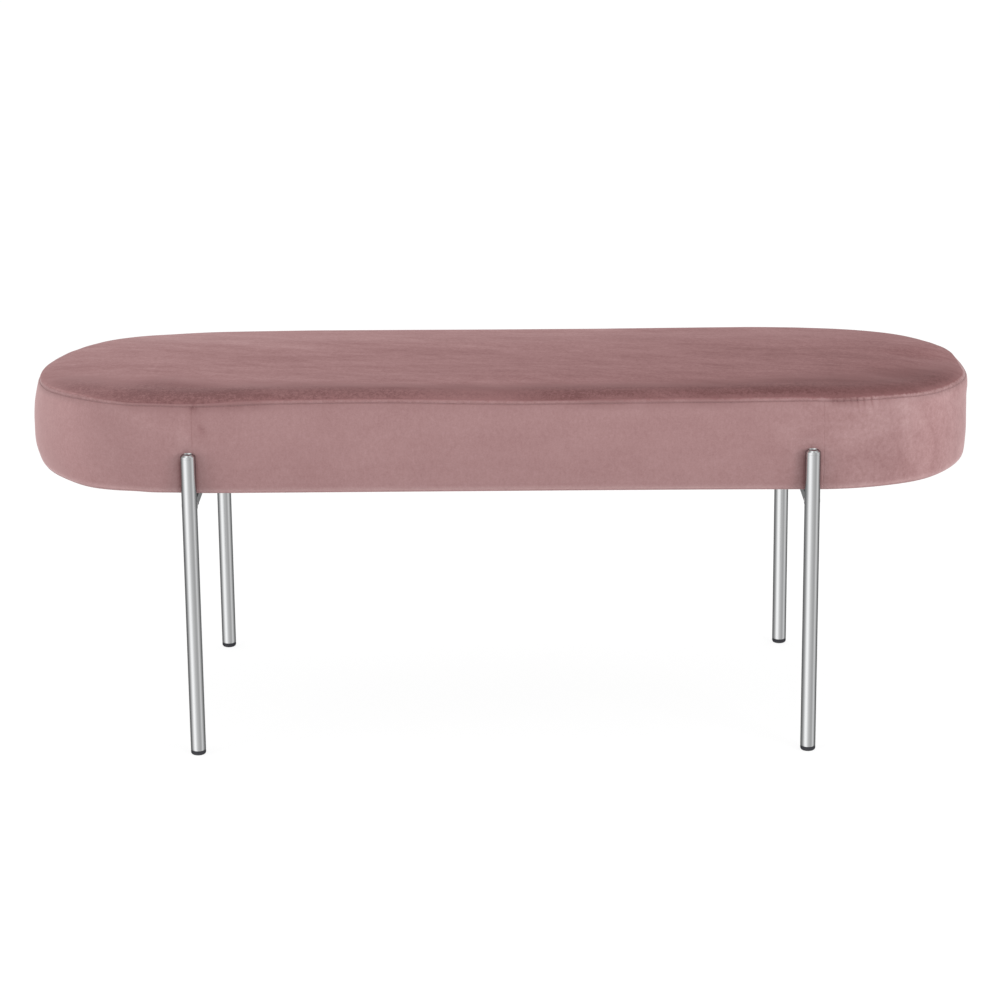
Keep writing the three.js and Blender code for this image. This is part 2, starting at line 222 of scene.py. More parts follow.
def section_lengths(rows, seam_row):
    """Distance along the section from the seam, below it less than zero."""
    lengths = [0.0]
    for before, after in zip(rows, rows[1:]):
        lengths.append(lengths[-1] + math.dist(before, after))
    return [length - lengths[seam_row] for length in lengths]


def racetrack(rows, end_steps=END_STEPS, straight_steps=STRAIGHT_STEPS, closed=False):
    """Carries a section along the front, round the right end, along the rear and round the left end."""
    bm = bmesh.new()
    run = bm.verts.layers.float.new("run")
    lengths = section_lengths(rows, 0)
    line = []
    for (inset, height), length in zip(rows, lengths):
        vertex = bm.verts.new((-END_CENTRE, inset - HALF_DEPTH, height))
        vertex[run] = length
        line.append(vertex)
    pairs = list(zip(line, line[1:]))
    if closed:
        pairs.append((line[-1], line[0]))
    geom = line + [bm.edges.new(pair) for pair in pairs]
    step = 2 * END_CENTRE / straight_steps
    for x in (END_CENTRE, -END_CENTRE):
        along = (math.copysign(step, x), 0, 0)
        moved = bmesh.ops.spin(
            bm, geom=geom, cent=(0, 0, 0), axis=(0, 0, 1), dvec=along, angle=0, steps=straight_steps
        )
        turned = bmesh.ops.spin(
            bm, geom=moved["geom_last"], cent=(x, 0, 0), axis=(0, 0, 1), angle=math.pi, steps=end_steps
        )
        geom = turned["geom_last"]
    bmesh.ops.remove_doubles(bm, verts=bm.verts, dist=1e-5)
    bmesh.ops.recalc_face_normals(bm, faces=bm.faces)
    return bm


def station(places):
    """For each point: the outward direction from the seat's middle line, its reach and its lap angle."""
    middle = np.clip(places[:, 0], -END_CENTRE, END_CENTRE)
    east = places[:, 0] - middle
    reach = np.hypot(east, places[:, 1])
    angle = np.arctan2(places[:, 1], east)
    safe = np.maximum(reach, 1e-6)
    outward = np.stack([east / safe, places[:, 1] / safe, np.zeros(len(places))], axis=1)
    return outward, reach, angle


def lap_of(places):
    """Distance round the seat's outline from the middle of the front, to the right more than zero."""
    outward, reach, angle = station(places)
    round_end = HALF_DEPTH * (angle + math.pi / 2)
    right = END_CENTRE + round_end
    front = places[:, 0]
    rear = END_CENTRE + math.pi * HALF_DEPTH + (END_CENTRE - places[:, 0])
    left_angle = np.where(angle < 0, angle + 2 * math.pi, angle)
    left = 3 * END_CENTRE + math.pi * HALF_DEPTH + HALF_DEPTH * (left_angle - math.pi / 2)
    lap = np.where(places[:, 1] < 0, front, rear)
    lap = np.where(places[:, 0] > END_CENTRE, right, lap)
    lap = np.where(places[:, 0] < -END_CENTRE, left, lap)
    return np.where(lap > LAP_LENGTH / 2, lap - LAP_LENGTH, lap)


# Cover panels: their order is the order of the material slots on the shell

PANELS = ("top_panel", "band_front", "band_right", "band_rear", "band_left")


def panel_of(centre, is_top):
    if is_top:
        return PANELS.index("top_panel")
    if centre.x < LEFT_SEAM_X:
        return PANELS.index("band_left")
    right_slant = (RIGHT_SEAM_X - END_CENTRE) / HALF_DEPTH
    if centre.x > END_CENTRE and (centre.x - END_CENTRE) > right_slant * abs(centre.y):
        return PANELS.index("band_right")
    return PANELS.index("band_front" if centre.y < 0 else "band_rear")


def cut_loops(bm, faces, origin, normal):
    """Adds an edge loop where a plane crosses these faces."""
    geom = list({vertex for face in faces for vertex in face.verts})
    geom += list({edge for face in faces for edge in face.edges}) + list(faces)
    bmesh.ops.bisect_plane(bm, geom=geom, dist=1e-7, plane_co=origin, plane_no=normal)


def cut_columns(bm):
    """Cuts in the columns beside the upright seams and, at the right front end, those of the gathers."""
    for offset in SEAM_COLUMNS:
        cut_loops(bm, list(bm.faces), (LEFT_SEAM_X + offset, 0, 0), (1, 0, 0))
    seam_angle = (RIGHT_SEAM_X - END_CENTRE) / HALF_DEPTH
    for side in (-1, 1):
        angles = [seam_angle + offset / HALF_DEPTH for offset in SEAM_COLUMNS]
        if side < 0:
            step = math.pi / END_STEPS
            angles += [step * (first + part / 3) for first in GATHER_STEPS for part in (1, 2)]
        for angle in angles:
            quarter = []
            for face in bm.faces:
                centre = face.calc_center_median()
                outer = math.hypot(centre.x - END_CENTRE, centre.y) > HALF_DEPTH / 2
                if centre.x > END_CENTRE and centre.y * side > 0 and outer:
                    quarter.append(face)
            normal = (math.cos(angle), -side * math.sin(angle), 0)
            cut_loops(bm, quarter, (END_CENTRE, 0, 0), normal)


def cover_base():
    """The cover before it settles: the shell with its columns cut in, its panels told apart and its stitch
    line marked as a seam."""
    band = band_rows()
    crown = crown_rows()
    bm = racetrack(band + crown)
    cut_columns(bm)
    run = bm.verts.layers.float["run"]
    lengths = section_lengths(band + crown, 0)
    seam_length = lengths[len(band)]
    for vertex in bm.verts:
        vertex[run] -= seam_length
    for face in bm.faces:
        middle = sum(vertex[run] for vertex in face.verts) / len(face.verts)
        face.material_index = panel_of(face.calc_center_median(), middle > 0)
    stitch_run = lengths[band.index(STITCH_BOTTOM)] - seam_length
    for edge in bm.edges:
        edge.seam = all(abs(vertex[run] - stitch_run) < 0.1 * MM for vertex in edge.verts)
    shell = empty_mesh_object("cover_shell")
    for panel in PANELS:
        shell.data.materials.append(None)
    return write_mesh(shell, bm)


# How the cover settles: its cloth settings, and the most that a point may move
CLOTH = {
    "quality": 6,
    "mass": 0.25,
    "tension_stiffness": 12,
    "compression_stiffness": 12,
    "shear_stiffness": 4,
    "bending_stiffness": 0.4,
    "use_pressure": True,
    "uniform_pressure_force": 2.5,
    "vertex_group_mass": "held",
    "pin_stiffness": 0.6,
}
SETTLE_FRAMES = 20
MOST_MOVE = 3.5 * MM


def holding(run, height):
    """How firmly each point is held: fully at seam and hem, half over the crown and hardly on the side."""
    held = np.full(len(run), 0.02)
    held += 0.5 * smooth_step(12 * MM, 60 * MM, run)
    held[(run > -9.5 * MM) & (run < 0.5 * MM)] = 1
    held[height < HEM_TOP + 1 * MM] = 1
    return held


def calmed(move, rest):
    """The moves evened out round the two poles, where the end's columns meet."""
    for x in (-END_CENTRE, END_CENTRE):
        apart = np.hypot(rest[:, 0] - x, rest[:, 1])
        around = move[(apart > 15 * MM) & (apart < 40 * MM)].mean(axis=0)
        calm = bump(apart, 0, 12 * MM)[:, None]
        move = move * (1 - calm) + around * calm
    return move


def settle(shell):
    """Lets the cover settle over its pads as cloth under pressure, held at its seams and hem."""
    rest = points_of(shell.data)
    group = shell.vertex_groups.new(name="held")
    for index, weight in enumerate(holding(read_attribute(shell.data, "run"), rest[:, 2])):
        group.add([index], float(min(weight, 1)), "REPLACE")
    cloth = shell.modifiers.new("settle", "CLOTH")
    for name, value in CLOTH.items():
        setattr(cloth.settings, name, value)
    cloth.settings.effector_weights.gravity = 0
    cloth.point_cache.frame_end = SETTLE_FRAMES
    scene = bpy.context.scene
    for number in range(1, SETTLE_FRAMES + 1):
        scene.frame_set(number)
    settled = points_of(shell.evaluated_get(bpy.context.evaluated_depsgraph_get()).data)
    shell.modifiers.remove(cloth)
    scene.frame_set(1)
    move = settled - rest
    length = np.maximum(np.linalg.norm(move, axis=1), 1e-9)
    move *= (np.tanh(length / MOST_MOVE) * MOST_MOVE / length)[:, None]
    set_points(shell.data, rest + calmed(move, rest))


def give_thickness(piece, thickness):
    """Thickens a sheet inwards, as a modifier that stays on the piece."""
    wall = piece.modifiers.new("cloth_thickness", "SOLIDIFY")
    wall.thickness = thickness
    wall.offset = -1


def subdivide(piece, levels):
    """Replaces the piece's mesh by its subdivision surface."""
    surface = piece.modifiers.new("smooth", "SUBSURF")
    surface.levels = levels
    surface.render_levels = levels
    finer = bpy.data.meshes.new_from_object(piece.evaluated_get(bpy.context.evaluated_depsgraph_get()))
    piece.modifiers.remove(surface)
    piece.data = finer


# Moves on the fine cover, all as distances that a point goes out from or along the seat

# How far the seam stands above its drawn height round the seat: (lap, millimetres)
SEAM_SWAY = (
    (-1.437, -3.0), (-1.31, -2.6), (-1.18, -2.3), (-1.07, -3.1), (-1.03, -3.6), (-0.99, -3.9), (-0.945, -2.4),
    (-0.89, -1.2), (-0.83, -2.3), (-0.77, -4.6), (-0.72, -5.2), (-0.622, -4.8), (-0.58, -2.6), (-0.543, -0.9),
    (-0.5, -1.0), (-0.45, -0.8), (-0.425, 0.2), (-0.375, -1.2), (-0.326, 0.0), (-0.286, 1.6), (-0.177, 2.4),
    (-0.125, 2.1), (-0.04, 0.2), (0.02, -1.1), (0.07, -0.9), (0.2, -0.2), (0.28, -0.5), (0.375, 0.5),
    (0.44, -0.6), (0.5, -2.1), (0.53, -4.5), (0.565, -6.4), (0.61, -6.8), (0.66, -7.6), (0.72, -7.8),
    (0.745, -4.9), (0.77, -2.2), (0.79, -1.0), (0.81, -0.9), (0.84, -1.3), (0.86, -0.9), (0.89, -1.2),
    (0.93, -2.2), (0.965, -2.9), (1.02, -3.5), (1.1, -2.3), (1.177, -2.5), (1.307, -3.1), (1.437, -3.0),
)


def seam_sway(lap):
    """The seam's rise over its drawn height, with the table's corners rounded."""
    laps, rises = zip(*SEAM_SWAY)
    total = 0
    for shift, share in ((-14 * MM, 0.25), (0, 0.5), (14 * MM, 0.25)):
        around = (lap + shift + LAP_LENGTH / 2) % LAP_LENGTH - LAP_LENGTH / 2
        total = total + share * np.interp(around, laps, rises)
    return total * MM


# How far the left end stands out: drawn in at the hem, full above it: (height over the hem, out), millimetres
LEFT_END = (
    (-1, -3.4), (3, -2.9), (7, -2.3), (11, -1.5), (15, -0.6), (21, 0.8), (27, 1.7), (35, 1.9), (51, 1.5),
    (85, 1.2), (101, 0.4), (111, 0.0),
)


def end_shape(lap, run, height):
    """How the two ends stand out or draw in: the left is drawn in at its seam, the right stands fuller."""
    far_left = bump(lap, -0.74, 0.2)
    far_right = bump(lap, 0.70, 0.15)
    crown = 1 - smooth_step(10 * MM, 70 * MM, run)
    above = smooth_step(-6 * MM, 0, run) * crown
    below = smooth_step(-36 * MM, -8 * MM, run) * (1 - smooth_step(-7 * MM, -1 * MM, run))
    out = 4.0 * below * far_right + above * (0.4 * bump(lap, 0.64, 0.1) - 3.4 * bump(lap, 0.725, 0.036))
    out -= 3.4 * far_left * smooth_step(-9 * MM, -1 * MM, run) * crown
    over_hem = height - HEM_UNDERSIDE
    out -= 1.3 * far_right * bump(over_hem, 63 * MM, 22 * MM)
    out += far_left * np.interp(over_hem / MM, *zip(*LEFT_END))
    return out * MM


def small_waves(lap, height):
    """Uneven fullness of the cover, from a few waves that never line up."""
    waves = 0.45 * np.sin(lap / 0.083 + 1.3) * np.sin(height / 0.031 + 0.4)
    waves += 0.35 * np.sin(lap / 0.041 + height / 0.055 + 2.1)
    waves += 0.2 * np.sin(lap / 0.023 - height / 0.027 + 0.7)
    return waves


# The gathers in the right front end: (lap, strength)
GATHERS = (
    (0.4085, 0.4), (0.4145, 0.35), (0.4225, 0.45), (0.4315, 0.5), (0.4398, 0.9), (0.4488, 1.0), (0.4593, 1.1),
    (0.470, 0.4), (0.482, 0.3),
)


def gathers(lap, run):
    """Short gathers just below the stitches where the band is eased round the right front end."""
    total = np.zeros(len(lap))
    for place, share in GATHERS:
        lean = (run + STITCH_DROP) * 0.12
        total += share * bump(lap + lean, place, 1.5 * MM)
    fade = np.where(run < -STITCH_DROP, np.exp((run + STITCH_DROP) / (7 * MM)), 1)
    fade = fade * (1 - smooth_step(-1.5 * MM, 0, run))
    return -0.75 * MM * total * fade


def ease_marks(lap, run):
    """Fine unevenness of the rolled seam allowance."""
    wave = np.sin(lap / 0.0042 + 2 * np.sin(lap / 0.031)) + 0.6 * np.sin(lap / 0.0095 + 1.1)
    stronger = 0.35 + 0.65 * smooth_step(-0.3, -0.42, lap) * smooth_step(-0.56, -0.5, lap)
    return 0.16 * MM * wave * stronger * bump(run, -2.2 * MM, 2.6 * MM)


# The four upright seams: (lap, share of the full depth)
UPRIGHT_SEAMS = (
    (LEFT_SEAM_X, 1),
    (RIGHT_SEAM_X, 0.65),
    (LAP_LENGTH / 2 - RIGHT_SEAM_X, 0.8),
    (-LAP_LENGTH / 2 - LEFT_SEAM_X, 0.8),
)


def upright_seams(lap, run, height):
    """The grooves of the upright seams and the shallow valleys that they pull."""
    total = np.zeros(len(lap))
    for seam, share in UPRIGHT_SEAMS:
        groove = 0.5 * MM * bump(lap, seam, 0.8 * MM)
        valley = 0.15 * MM * bump(lap, seam, 8 * MM)
        total += share * (groove + valley)
    near_top = 0.65 + 0.35 * np.exp(np.minimum(0, run + STITCH_DROP) / (16 * MM))
    down = -total * near_top * (1 - smooth_step(-5 * MM, -3.6 * MM, run))
    return down * smooth_step(HEM_UNDERSIDE, HEM_TOP, height)


# The pinch where the left upright seam meets the stitches and the soft folds near it: (place beside the seam,
# drop below the stitches, half length, half width, rise) in millimetres, and the angle down to the right
PINCH_FOLDS = (
    (1, 0, 6, 7, -1.0, 0),
    (-15, 35, 14, 10, 0.45, 35),
    (9, 22, 24, 8, -0.55, 80),
    (13, 29, 5.5, 2.8, -1.3, 50),
    (56, 38, 12, 6, 0.5, -25),
    (-55, 22, 36, 9, 0.35, 22),
)


def pinch_folds(lap, height):
    """How far the pinch and the folds beside it stand out."""
    beside = (lap - LEFT_SEAM_X) / MM
    drop = (STITCH_HEIGHT - height) / MM
    total = np.zeros(len(lap))
    for place, depth, length, width, rise, degrees in PINCH_FOLDS:
        cos, sin = math.cos(math.radians(degrees)), math.sin(math.radians(degrees))
        along = (beside - place) * cos + (drop - depth) * sin
        across = (drop - depth) * cos - (beside - place) * sin
        total += rise * bump(along, 0, length) * bump(across, 0, width)
    return total * MM * smooth_step(-2, 2, drop)


DENT_REACH = 22 * MM
DENT_DEPTH = 0.7 * MM


def leg_dents(places, outward_move):
    """Keeps the cover off the tubes, with a soft hollow round each."""
    result = outward_move
    for x in (-LEG_X, LEG_X):
        beside = np.abs(places[:, 0] - x)
        near = bump(beside, 0, DENT_REACH) * (1 - smooth_step(CAP_TOP, CAP_TOP + DENT_REACH, places[:, 2]))
        result = result - near * (np.maximum(result, 0) + DENT_DEPTH)
    return result


# How far the hem hangs below its drawn height, as hills round the seat: (lap, width, millimetres)
HEM_SAG = (
    (0.62, 0.24, 2.2), (0.55, 0.05, 1.4), (-0.53, 0.04, 2.0), (-0.455, 0.02, -0.8), (-0.405, 0.03, -1.0),
)


def hem_sag(lap, height):
    """How far the hem hangs below its drawn height, fading out up the side."""
    total = sum(depth * bump(lap, place, width) for place, width, depth in HEM_SAG)
    return total * MM * (1 - smooth_step(HEM_UNDERSIDE, HEM_TOP + 20 * MM, height))


# Painted shade along the front of the crown, where its shoulder faces the eye: (lap, share painted dark, how far it
# reaches up the crown, where it ends over the seam, share painted light again next to the seam), lengths in
# millimetres
PAINTED_CROWN_SHADE = (
    (-0.72, 0.0, 60, 3, 0.2), (-0.66, 0.12, 70, 3, 0.2), (-0.61, 0.38, 80, 3, 0.2),
    (-0.56, 0.66, 85, 2.6, 0.2), (-0.51, 0.6, 100, 0.4, 0.15), (-0.46, 0.78, 128, -1.4, 0.05),
    (-0.42, 0.86, 130, -1.4, 0.05),
    (-0.377, 0.78, 115, -1.2, 0.1), (-0.34, 0.88, 88, 0.6, 0.15), (-0.31, 0.76, 88, 1.2, 0.12),
    (-0.277, 0.68, 84, 1.0, 0.08), (-0.23, 0.76, 80, 0.6, 0.05), (-0.17, 0.66, 70, 0.6, 0.12),
    (-0.126, 0.78, 62, 0.4, 0.15), (-0.08, 0.56, 64, 0.4, 0.12), (0.0, 0.48, 70, 0.5, 0.1),
    (0.05, 0.62, 82, 0, 0.1), (0.09, 0.92, 66, 0.6, 0.1), (0.126, 0.78, 72, 1.2, 0.3),
    (0.16, 0.7, 78, 1, 0.25), (0.2, 0.66, 72, 0.8, 0.08),
    (0.24, 0.68, 82, 1.2, 0.25), (0.31, 0.76, 92, 1.2, 0.35), (0.352, 0.76, 105, 1, 0.28),
    (0.4, 0.68, 116, 0.4, 0.25), (0.43, 0.67, 130, 0.8, 0.35), (0.463, 0.56, 126, 0.2, 0.2),
    (0.503, 0.57, 122, -0.4, 0.35), (0.56, 0.62, 116, 0.8, 0.5), (0.6, 0.66, 108, 1, 0.4),
    (0.64, 0.48, 96, 1, 0.3), (0.7, 0.12, 70, 1, 0.2), (0.76, 0.0, 60, 1, 0.2),
)

# Painted shade on the band just below the rolled seam: (lap, share)
PAINTED_SEAM_SHADE = (
    (-0.6, 0.0), (-0.48, 0.05), (-0.46, 0.2), (-0.41, 0.25), (-0.379, 0.2), (-0.375, 0.5), (-0.37, 0.25),
    (-0.355, 0.36), (-0.30, 0.36), (-0.275, 0.12), (-0.05, 0.08), (0.08, 0.08), (0.115, 0.3), (0.15, 0.26),
    (0.17, 0.1), (0.2, 0.25), (0.22, 0.12), (0.24, 0.28), (0.28, 0.24), (0.31, 0.08), (0.39, 0.05),
    (0.402, 0.2), (0.41, 0.55), (0.435, 0.5), (0.446, 0.2), (0.47, 0.08), (0.6, 0.0),
)


def nap(lap, run):
    """The share of painted shade along the front of the crown and just below the seam, as the material reads it."""
    laps, shares, reaches, edges, lifts = zip(*PAINTED_CROWN_SHADE)
    reach = np.interp(lap, laps, reaches) * MM
    over = run - np.interp(lap, laps, edges) * MM
    crown = np.interp(lap, laps, shares) * (1 - smooth_step(reach * 0.12, reach, run))
    crown *= 1 - np.interp(lap, laps, lifts) * (1 - smooth_step(2.5 * MM, 9 * MM, over))
    band = np.interp(lap, *zip(*PAINTED_SEAM_SHADE)) * smooth_step(-17 * MM, -4 * MM, run)
    on_crown = smooth_step(-1.5 * MM, 1.3 * MM, over)
    return crown * on_crown + band * (1 - on_crown)


# Painted shade in the stitch groove, painted lighter where the share is below zero: (lap, share)
GROOVE_SHADE = (
    (-0.6, 0.3), (-0.45, 0.05), (-0.377, -0.05), (-0.335, -0.35), (-0.28, -0.05), (-0.24, 0.25),
    (-0.126, 0.15), (-0.04, -0.1), (0.05, 0.28), (0.126, -0.1), (0.18, -0.2), (0.24, 0.1), (0.277, 0.3), (0.34, 0.4),
    (0.375, 0.1), (0.41, -0.15), (0.45, -0.05), (0.475, 0.25), (0.6, 0.45),
)


def near_seam(run):
    """1 at the seam, fading down the band and over the crown."""
    return smooth_step(-100 * MM, -20 * MM, run) * (1 - smooth_step(30 * MM, 130 * MM, run))


def dress(shell):
    """Moves the fine cover's points into its seams, gathers and folds, and stores what its material reads."""
    mesh = shell.data
    places = points_of(mesh)
    run = read_attribute(mesh, "run")
    outward, reach, angle = station(places)
    lap = lap_of(places)
    height = places[:, 2]

    on_side = (1 - smooth_step(-8 * MM, -5 * MM, run)) * smooth_step(HEM_UNDERSIDE, HEM_TOP, height)
    out = 0.5 * MM * small_waves(lap, height) * on_side
    out += gathers(lap, run) + ease_marks(lap, run)
    out += upright_seams(lap, run, height)
    out += pinch_folds(lap, height) * (run < 0)
    out += end_shape(lap, run, height)
    past = reach - HALF_DEPTH
    limited = leg_dents(places, out + np.maximum(past, 0)) - np.maximum(past, 0)
    out = np.where(run < -STITCH_DROP / 2, limited, out)
    out[run < UNDERSIDE_RUN] = 0

    up = seam_sway(lap) * near_seam(run) - hem_sag(lap, height)
    crown_waves = small_waves(places[:, 0] * 0.8 + 0.3, places[:, 1] * 0.6)
    up += 0.35 * MM * crown_waves * smooth_step(20 * MM, 100 * MM, run)
    places += outward * out[:, None]
    places[:, 2] += up
    set_points(mesh, places)

    # Painted shade in the stitch groove, the gathers, the upright seams and the pinch, and painted light on the
    # folds that stand out
    creases = np.interp(lap, *zip(*GROOVE_SHADE)) * bump(run, -STITCH_DROP, 0.9 * MM)
    creases -= 2.2 * np.minimum(0, gathers(lap, run)) / MM
    creases -= 0.65 * np.minimum(0, upright_seams(lap, run, height)) / MM
    creases -= 0.6 * pinch_folds(lap, height) / MM * (run < 0)
    give_attribute(mesh, "crease", np.clip(creases, -0.4, 1.2))
    # The share of painted shade along the crown's front and just below the seam
    give_attribute(mesh, "nap", nap(lap, run))


def split_panels(shell):
    """Parts the shell at its seams into the five panels, each with the cloth's thickness."""
    whole = bmesh.new()
    whole.from_mesh(shell.data)
    for number, panel in enumerate(PANELS):
        bm = whole.copy()
        others = [face for face in bm.faces if face.material_index != number]
        bmesh.ops.delete(bm, geom=others, context="FACES")
        for face in bm.faces:
            face.material_index = 0
        piece = new_piece(f"cover_{panel}_velvet", bm)
        give_thickness(piece, COVER_THICKNESS)
        finished(piece, "velvet", f"cover_{panel}")
        flat, area = panel_cut(panel)
    whole.free()


def panel_cut(panel):
    """A panel's flat size and, where it isn't a rectangle, its flat area."""
    band = band_rows()
    lengths = section_lengths(band + crown_rows(), len(band))
    if panel == "top_panel":
        reach = lengths[-1]
        return (2 * (END_CENTRE + reach), 2 * reach), 4 * END_CENTRE * reach + math.pi * reach ** 2
    round_end = math.pi * HALF_DEPTH
    widths = {
        "band_front": RIGHT_SEAM_X - LEFT_SEAM_X,
        "band_rear": RIGHT_SEAM_X - LEFT_SEAM_X,
        "band_right": round_end - 2 * (RIGHT_SEAM_X - END_CENTRE),
        "band_left": round_end + 2 * (LEFT_SEAM_X + END_CENTRE),
    }
    return (widths[panel], -lengths[0]), None


def make_cover():
    """Makes the five panels and returns the line that the topstitching follows."""
    shell = cover_base()
    settle(shell)
    subdivide(shell, 2)
    dress(shell)
    split_panels(shell)
    line = stitch_line(shell)
    bpy.data.objects.remove(shell)
    return line


# Turned and round pieces

def turned(profile, steps, place=(0, 0, 0), closed=True):
    """A turned solid about an upright axis from (radius, height) pairs."""
    bm = bmesh.new()
    line = [bm.verts.new((radius, 0, height)) for radius, height in profile]
    pairs = list(zip(line, line[1:]))
    if closed:
        pairs.append((line[-1], line[0]))
    edges = [bm.edges.new(pair) for pair in pairs]
    bmesh.ops.spin(
        bm, geom=line + edges, cent=(0, 0, 0), axis=(0, 0, 1), angle=2 * math.pi, steps=steps, use_merge=True
    )
    bmesh.ops.remove_doubles(bm, verts=bm.verts, dist=1e-7)
    bmesh.ops.recalc_face_normals(bm, faces=bm.faces)
    bmesh.ops.translate(bm, verts=bm.verts, vec=place)
    return bm


# Legs

TUBE_WALL = 1.5 * MM
BORE_RADIUS = TUBE_RADIUS - TUBE_WALL
ROUND_STEPS = 64
END_BEVEL = 0.5 * MM
JOINT_GAP = 0.15 * MM
CAP_GAP = 0.05 * MM
FOOT_TOP = LEG_LOW.z
FOOT_ROUND = 3.2 * MM
CAP_CHAMFER_WIDTH = 3 * MM
CAP_CHAMFER_HEIGHT = 2.8 * MM
CAP_RIM = 0.5 * MM
CAP_LIP = 0.2 * MM
CAP_RECESS = 0.9 * MM
CAP_STEM = 8 * MM
FOOT_STEM = 20 * MM
RIB_TIP = BORE_RADIUS - 0.2 * MM


def leg_places():
    for depth, y in (("front", -LEG_Y), ("rear", LEG_Y)):
        for side, x in (("left", -LEG_X), ("right", LEG_X)):
            yield f"{depth}_{side}", (x, y, 0)


def leg_tube_profile():
    top = LEG_HIGH.z
    outer = TUBE_RADIUS
    return [
        (BORE_RADIUS, FOOT_TOP + END_BEVEL / 2),
        (BORE_RADIUS + END_BEVEL / 2, FOOT_TOP),
        (outer - END_BEVEL, FOOT_TOP),
        (outer - END_BEVEL * 0.3, FOOT_TOP + END_BEVEL * 0.3),
        (outer, FOOT_TOP + END_BEVEL),
        (outer, FOOT_TOP + 6 * END_BEVEL),
        (outer, top - 2 * END_BEVEL),
        (outer, top - END_BEVEL / 8),
        (outer - END_BEVEL / 8, top),
        (BORE_RADIUS, top),
    ]


def cap_profile():
    """Cap with a tall chamfer whose edges are broken, a lip round its top and a stem in the tube."""
    tube_top = LEG_HIGH.z
    stem = BORE_RADIUS - JOINT_GAP
    broken = 0.2 * MM
    shoulder = CAP_TOP - CAP_CHAMFER_HEIGHT
    top = TUBE_RADIUS - CAP_CHAMFER_WIDTH
    rim = top + CAP_RIM
    return [
        (0, tube_top - CAP_STEM),
        (stem - broken, tube_top - CAP_STEM),
        (stem, tube_top - CAP_STEM + broken),
        (stem, tube_top + CAP_GAP),
        (TUBE_RADIUS - CAP_GAP, tube_top + CAP_GAP),
        (TUBE_RADIUS, tube_top + 2 * CAP_GAP),
        (TUBE_RADIUS, shoulder - 2 * broken),
        (TUBE_RADIUS - broken * 0.6, shoulder + broken),
        (TUBE_RADIUS - broken * 2.2, shoulder + 4 * broken),
        (rim + broken * 0.8, CAP_TOP - CAP_RIM - broken),
        (rim, CAP_TOP - CAP_RIM),
        (rim - broken * 0.8, CAP_TOP - CAP_RIM / 3),
        (top, CAP_TOP),
        (top - CAP_LIP, CAP_TOP),
        (top - CAP_LIP - CAP_RECESS / 2, CAP_TOP - CAP_RECESS),
        (0, CAP_TOP - CAP_RECESS),
    ]


def foot_profile():
    """Rounded foot with a lip against the tube and a stem with three sealing ribs."""
    profile = [(0, 0), (TUBE_RADIUS - FOOT_ROUND - 1 * MM, 0)]
    for step in range(7):
        angle = math.pi / 2 * step / 6
        radius = TUBE_RADIUS - FOOT_ROUND * (1 - math.sin(angle))
        profile.append((radius, FOOT_ROUND * (1 - math.cos(angle))))
    lip = FOOT_TOP - JOINT_GAP
    core = BORE_RADIUS - 1 * MM
    profile += [(TUBE_RADIUS, lip - 0.8 * MM), (TUBE_RADIUS - 0.3 * MM, lip - 0.4 * MM)]
    profile += [(TUBE_RADIUS - 0.5 * MM, lip), (core, lip)]
    for rib in range(1, 4):
        middle = FOOT_TOP + FOOT_STEM * rib / 4
        for rise, radius in ((-1, core), (-0.5, RIB_TIP - 0.15 * MM), (0, RIB_TIP), (1, core)):
            profile.append((radius, middle + rise * MM))
    profile += [(core, FOOT_TOP + FOOT_STEM - 1 * MM), (core - 1 * MM, FOOT_TOP + FOOT_STEM)]
    profile.append((0, FOOT_TOP + FOOT_STEM))
    return profile


def make_legs():
    for name, place in leg_places():
        tube = new_piece(f"leg_{name}_tube", turned(leg_tube_profile(), ROUND_STEPS, place))
        finished(tube, "leg_steel", f"leg_tube_{name}", sharp=50)
        cap = new_piece(f"leg_{name}_cap", turned(cap_profile(), ROUND_STEPS, place, closed=False))
        finished(cap, "leg_steel", f"leg_cap_{name}", sharp=30)
        foot = new_piece(f"foot_{name}_rubber", turned(foot_profile(), ROUND_STEPS, place, closed=False))
        finished(foot, "foot_rubber", f"foot_{name}", sharp=40)


# Cross rails

RAIL_STEPS = 96
WELD_RADIUS = 1.5 * MM
WELD_STEPS = 120
WELD_RIPPLES = 40
RIPPLE_SHARE = 0.06


def cope(across, radius=TUBE_RADIUS):
    """How far a leg tube's side stands out towards the rail at a distance across it."""
    return np.sqrt(np.maximum(radius ** 2 - across ** 2, 0))


def rail_profile():
    """Half section of the rail before it is coped, as (radius, place along it) pairs."""
    return [(BORE_RADIUS, -LEG_Y), (TUBE_RADIUS, -LEG_Y), (TUBE_RADIUS, LEG_Y), (BORE_RADIUS, LEG_Y)]


def make_rails():
    for side, x in (("left", -LEG_X), ("right", LEG_X)):
        bm = turned(rail_profile(), RAIL_STEPS)
        lay_down = Matrix.Rotation(math.pi / 2, 3, "X")
        bmesh.ops.rotate(bm, verts=bm.verts, cent=(0, 0, 0), matrix=lay_down)
        for vertex in bm.verts:
            shorter = float(cope(vertex.co.x, TUBE_RADIUS + JOINT_GAP))
            vertex.co.y -= math.copysign(shorter, vertex.co.y)
        bmesh.ops.translate(bm, verts=bm.verts, vec=(x, 0, RAIL_AXIS))
        rail = new_piece(f"cross_rail_{side}_tube", bm)
        finished(rail, "leg_steel", f"cross_rail_{side}", sharp=50)
        for end, sign in (("front", -1), ("rear", 1)):
            make_weld(f"weld_{side}_{end}", (x, sign * LEG_Y, RAIL_AXIS), sign)


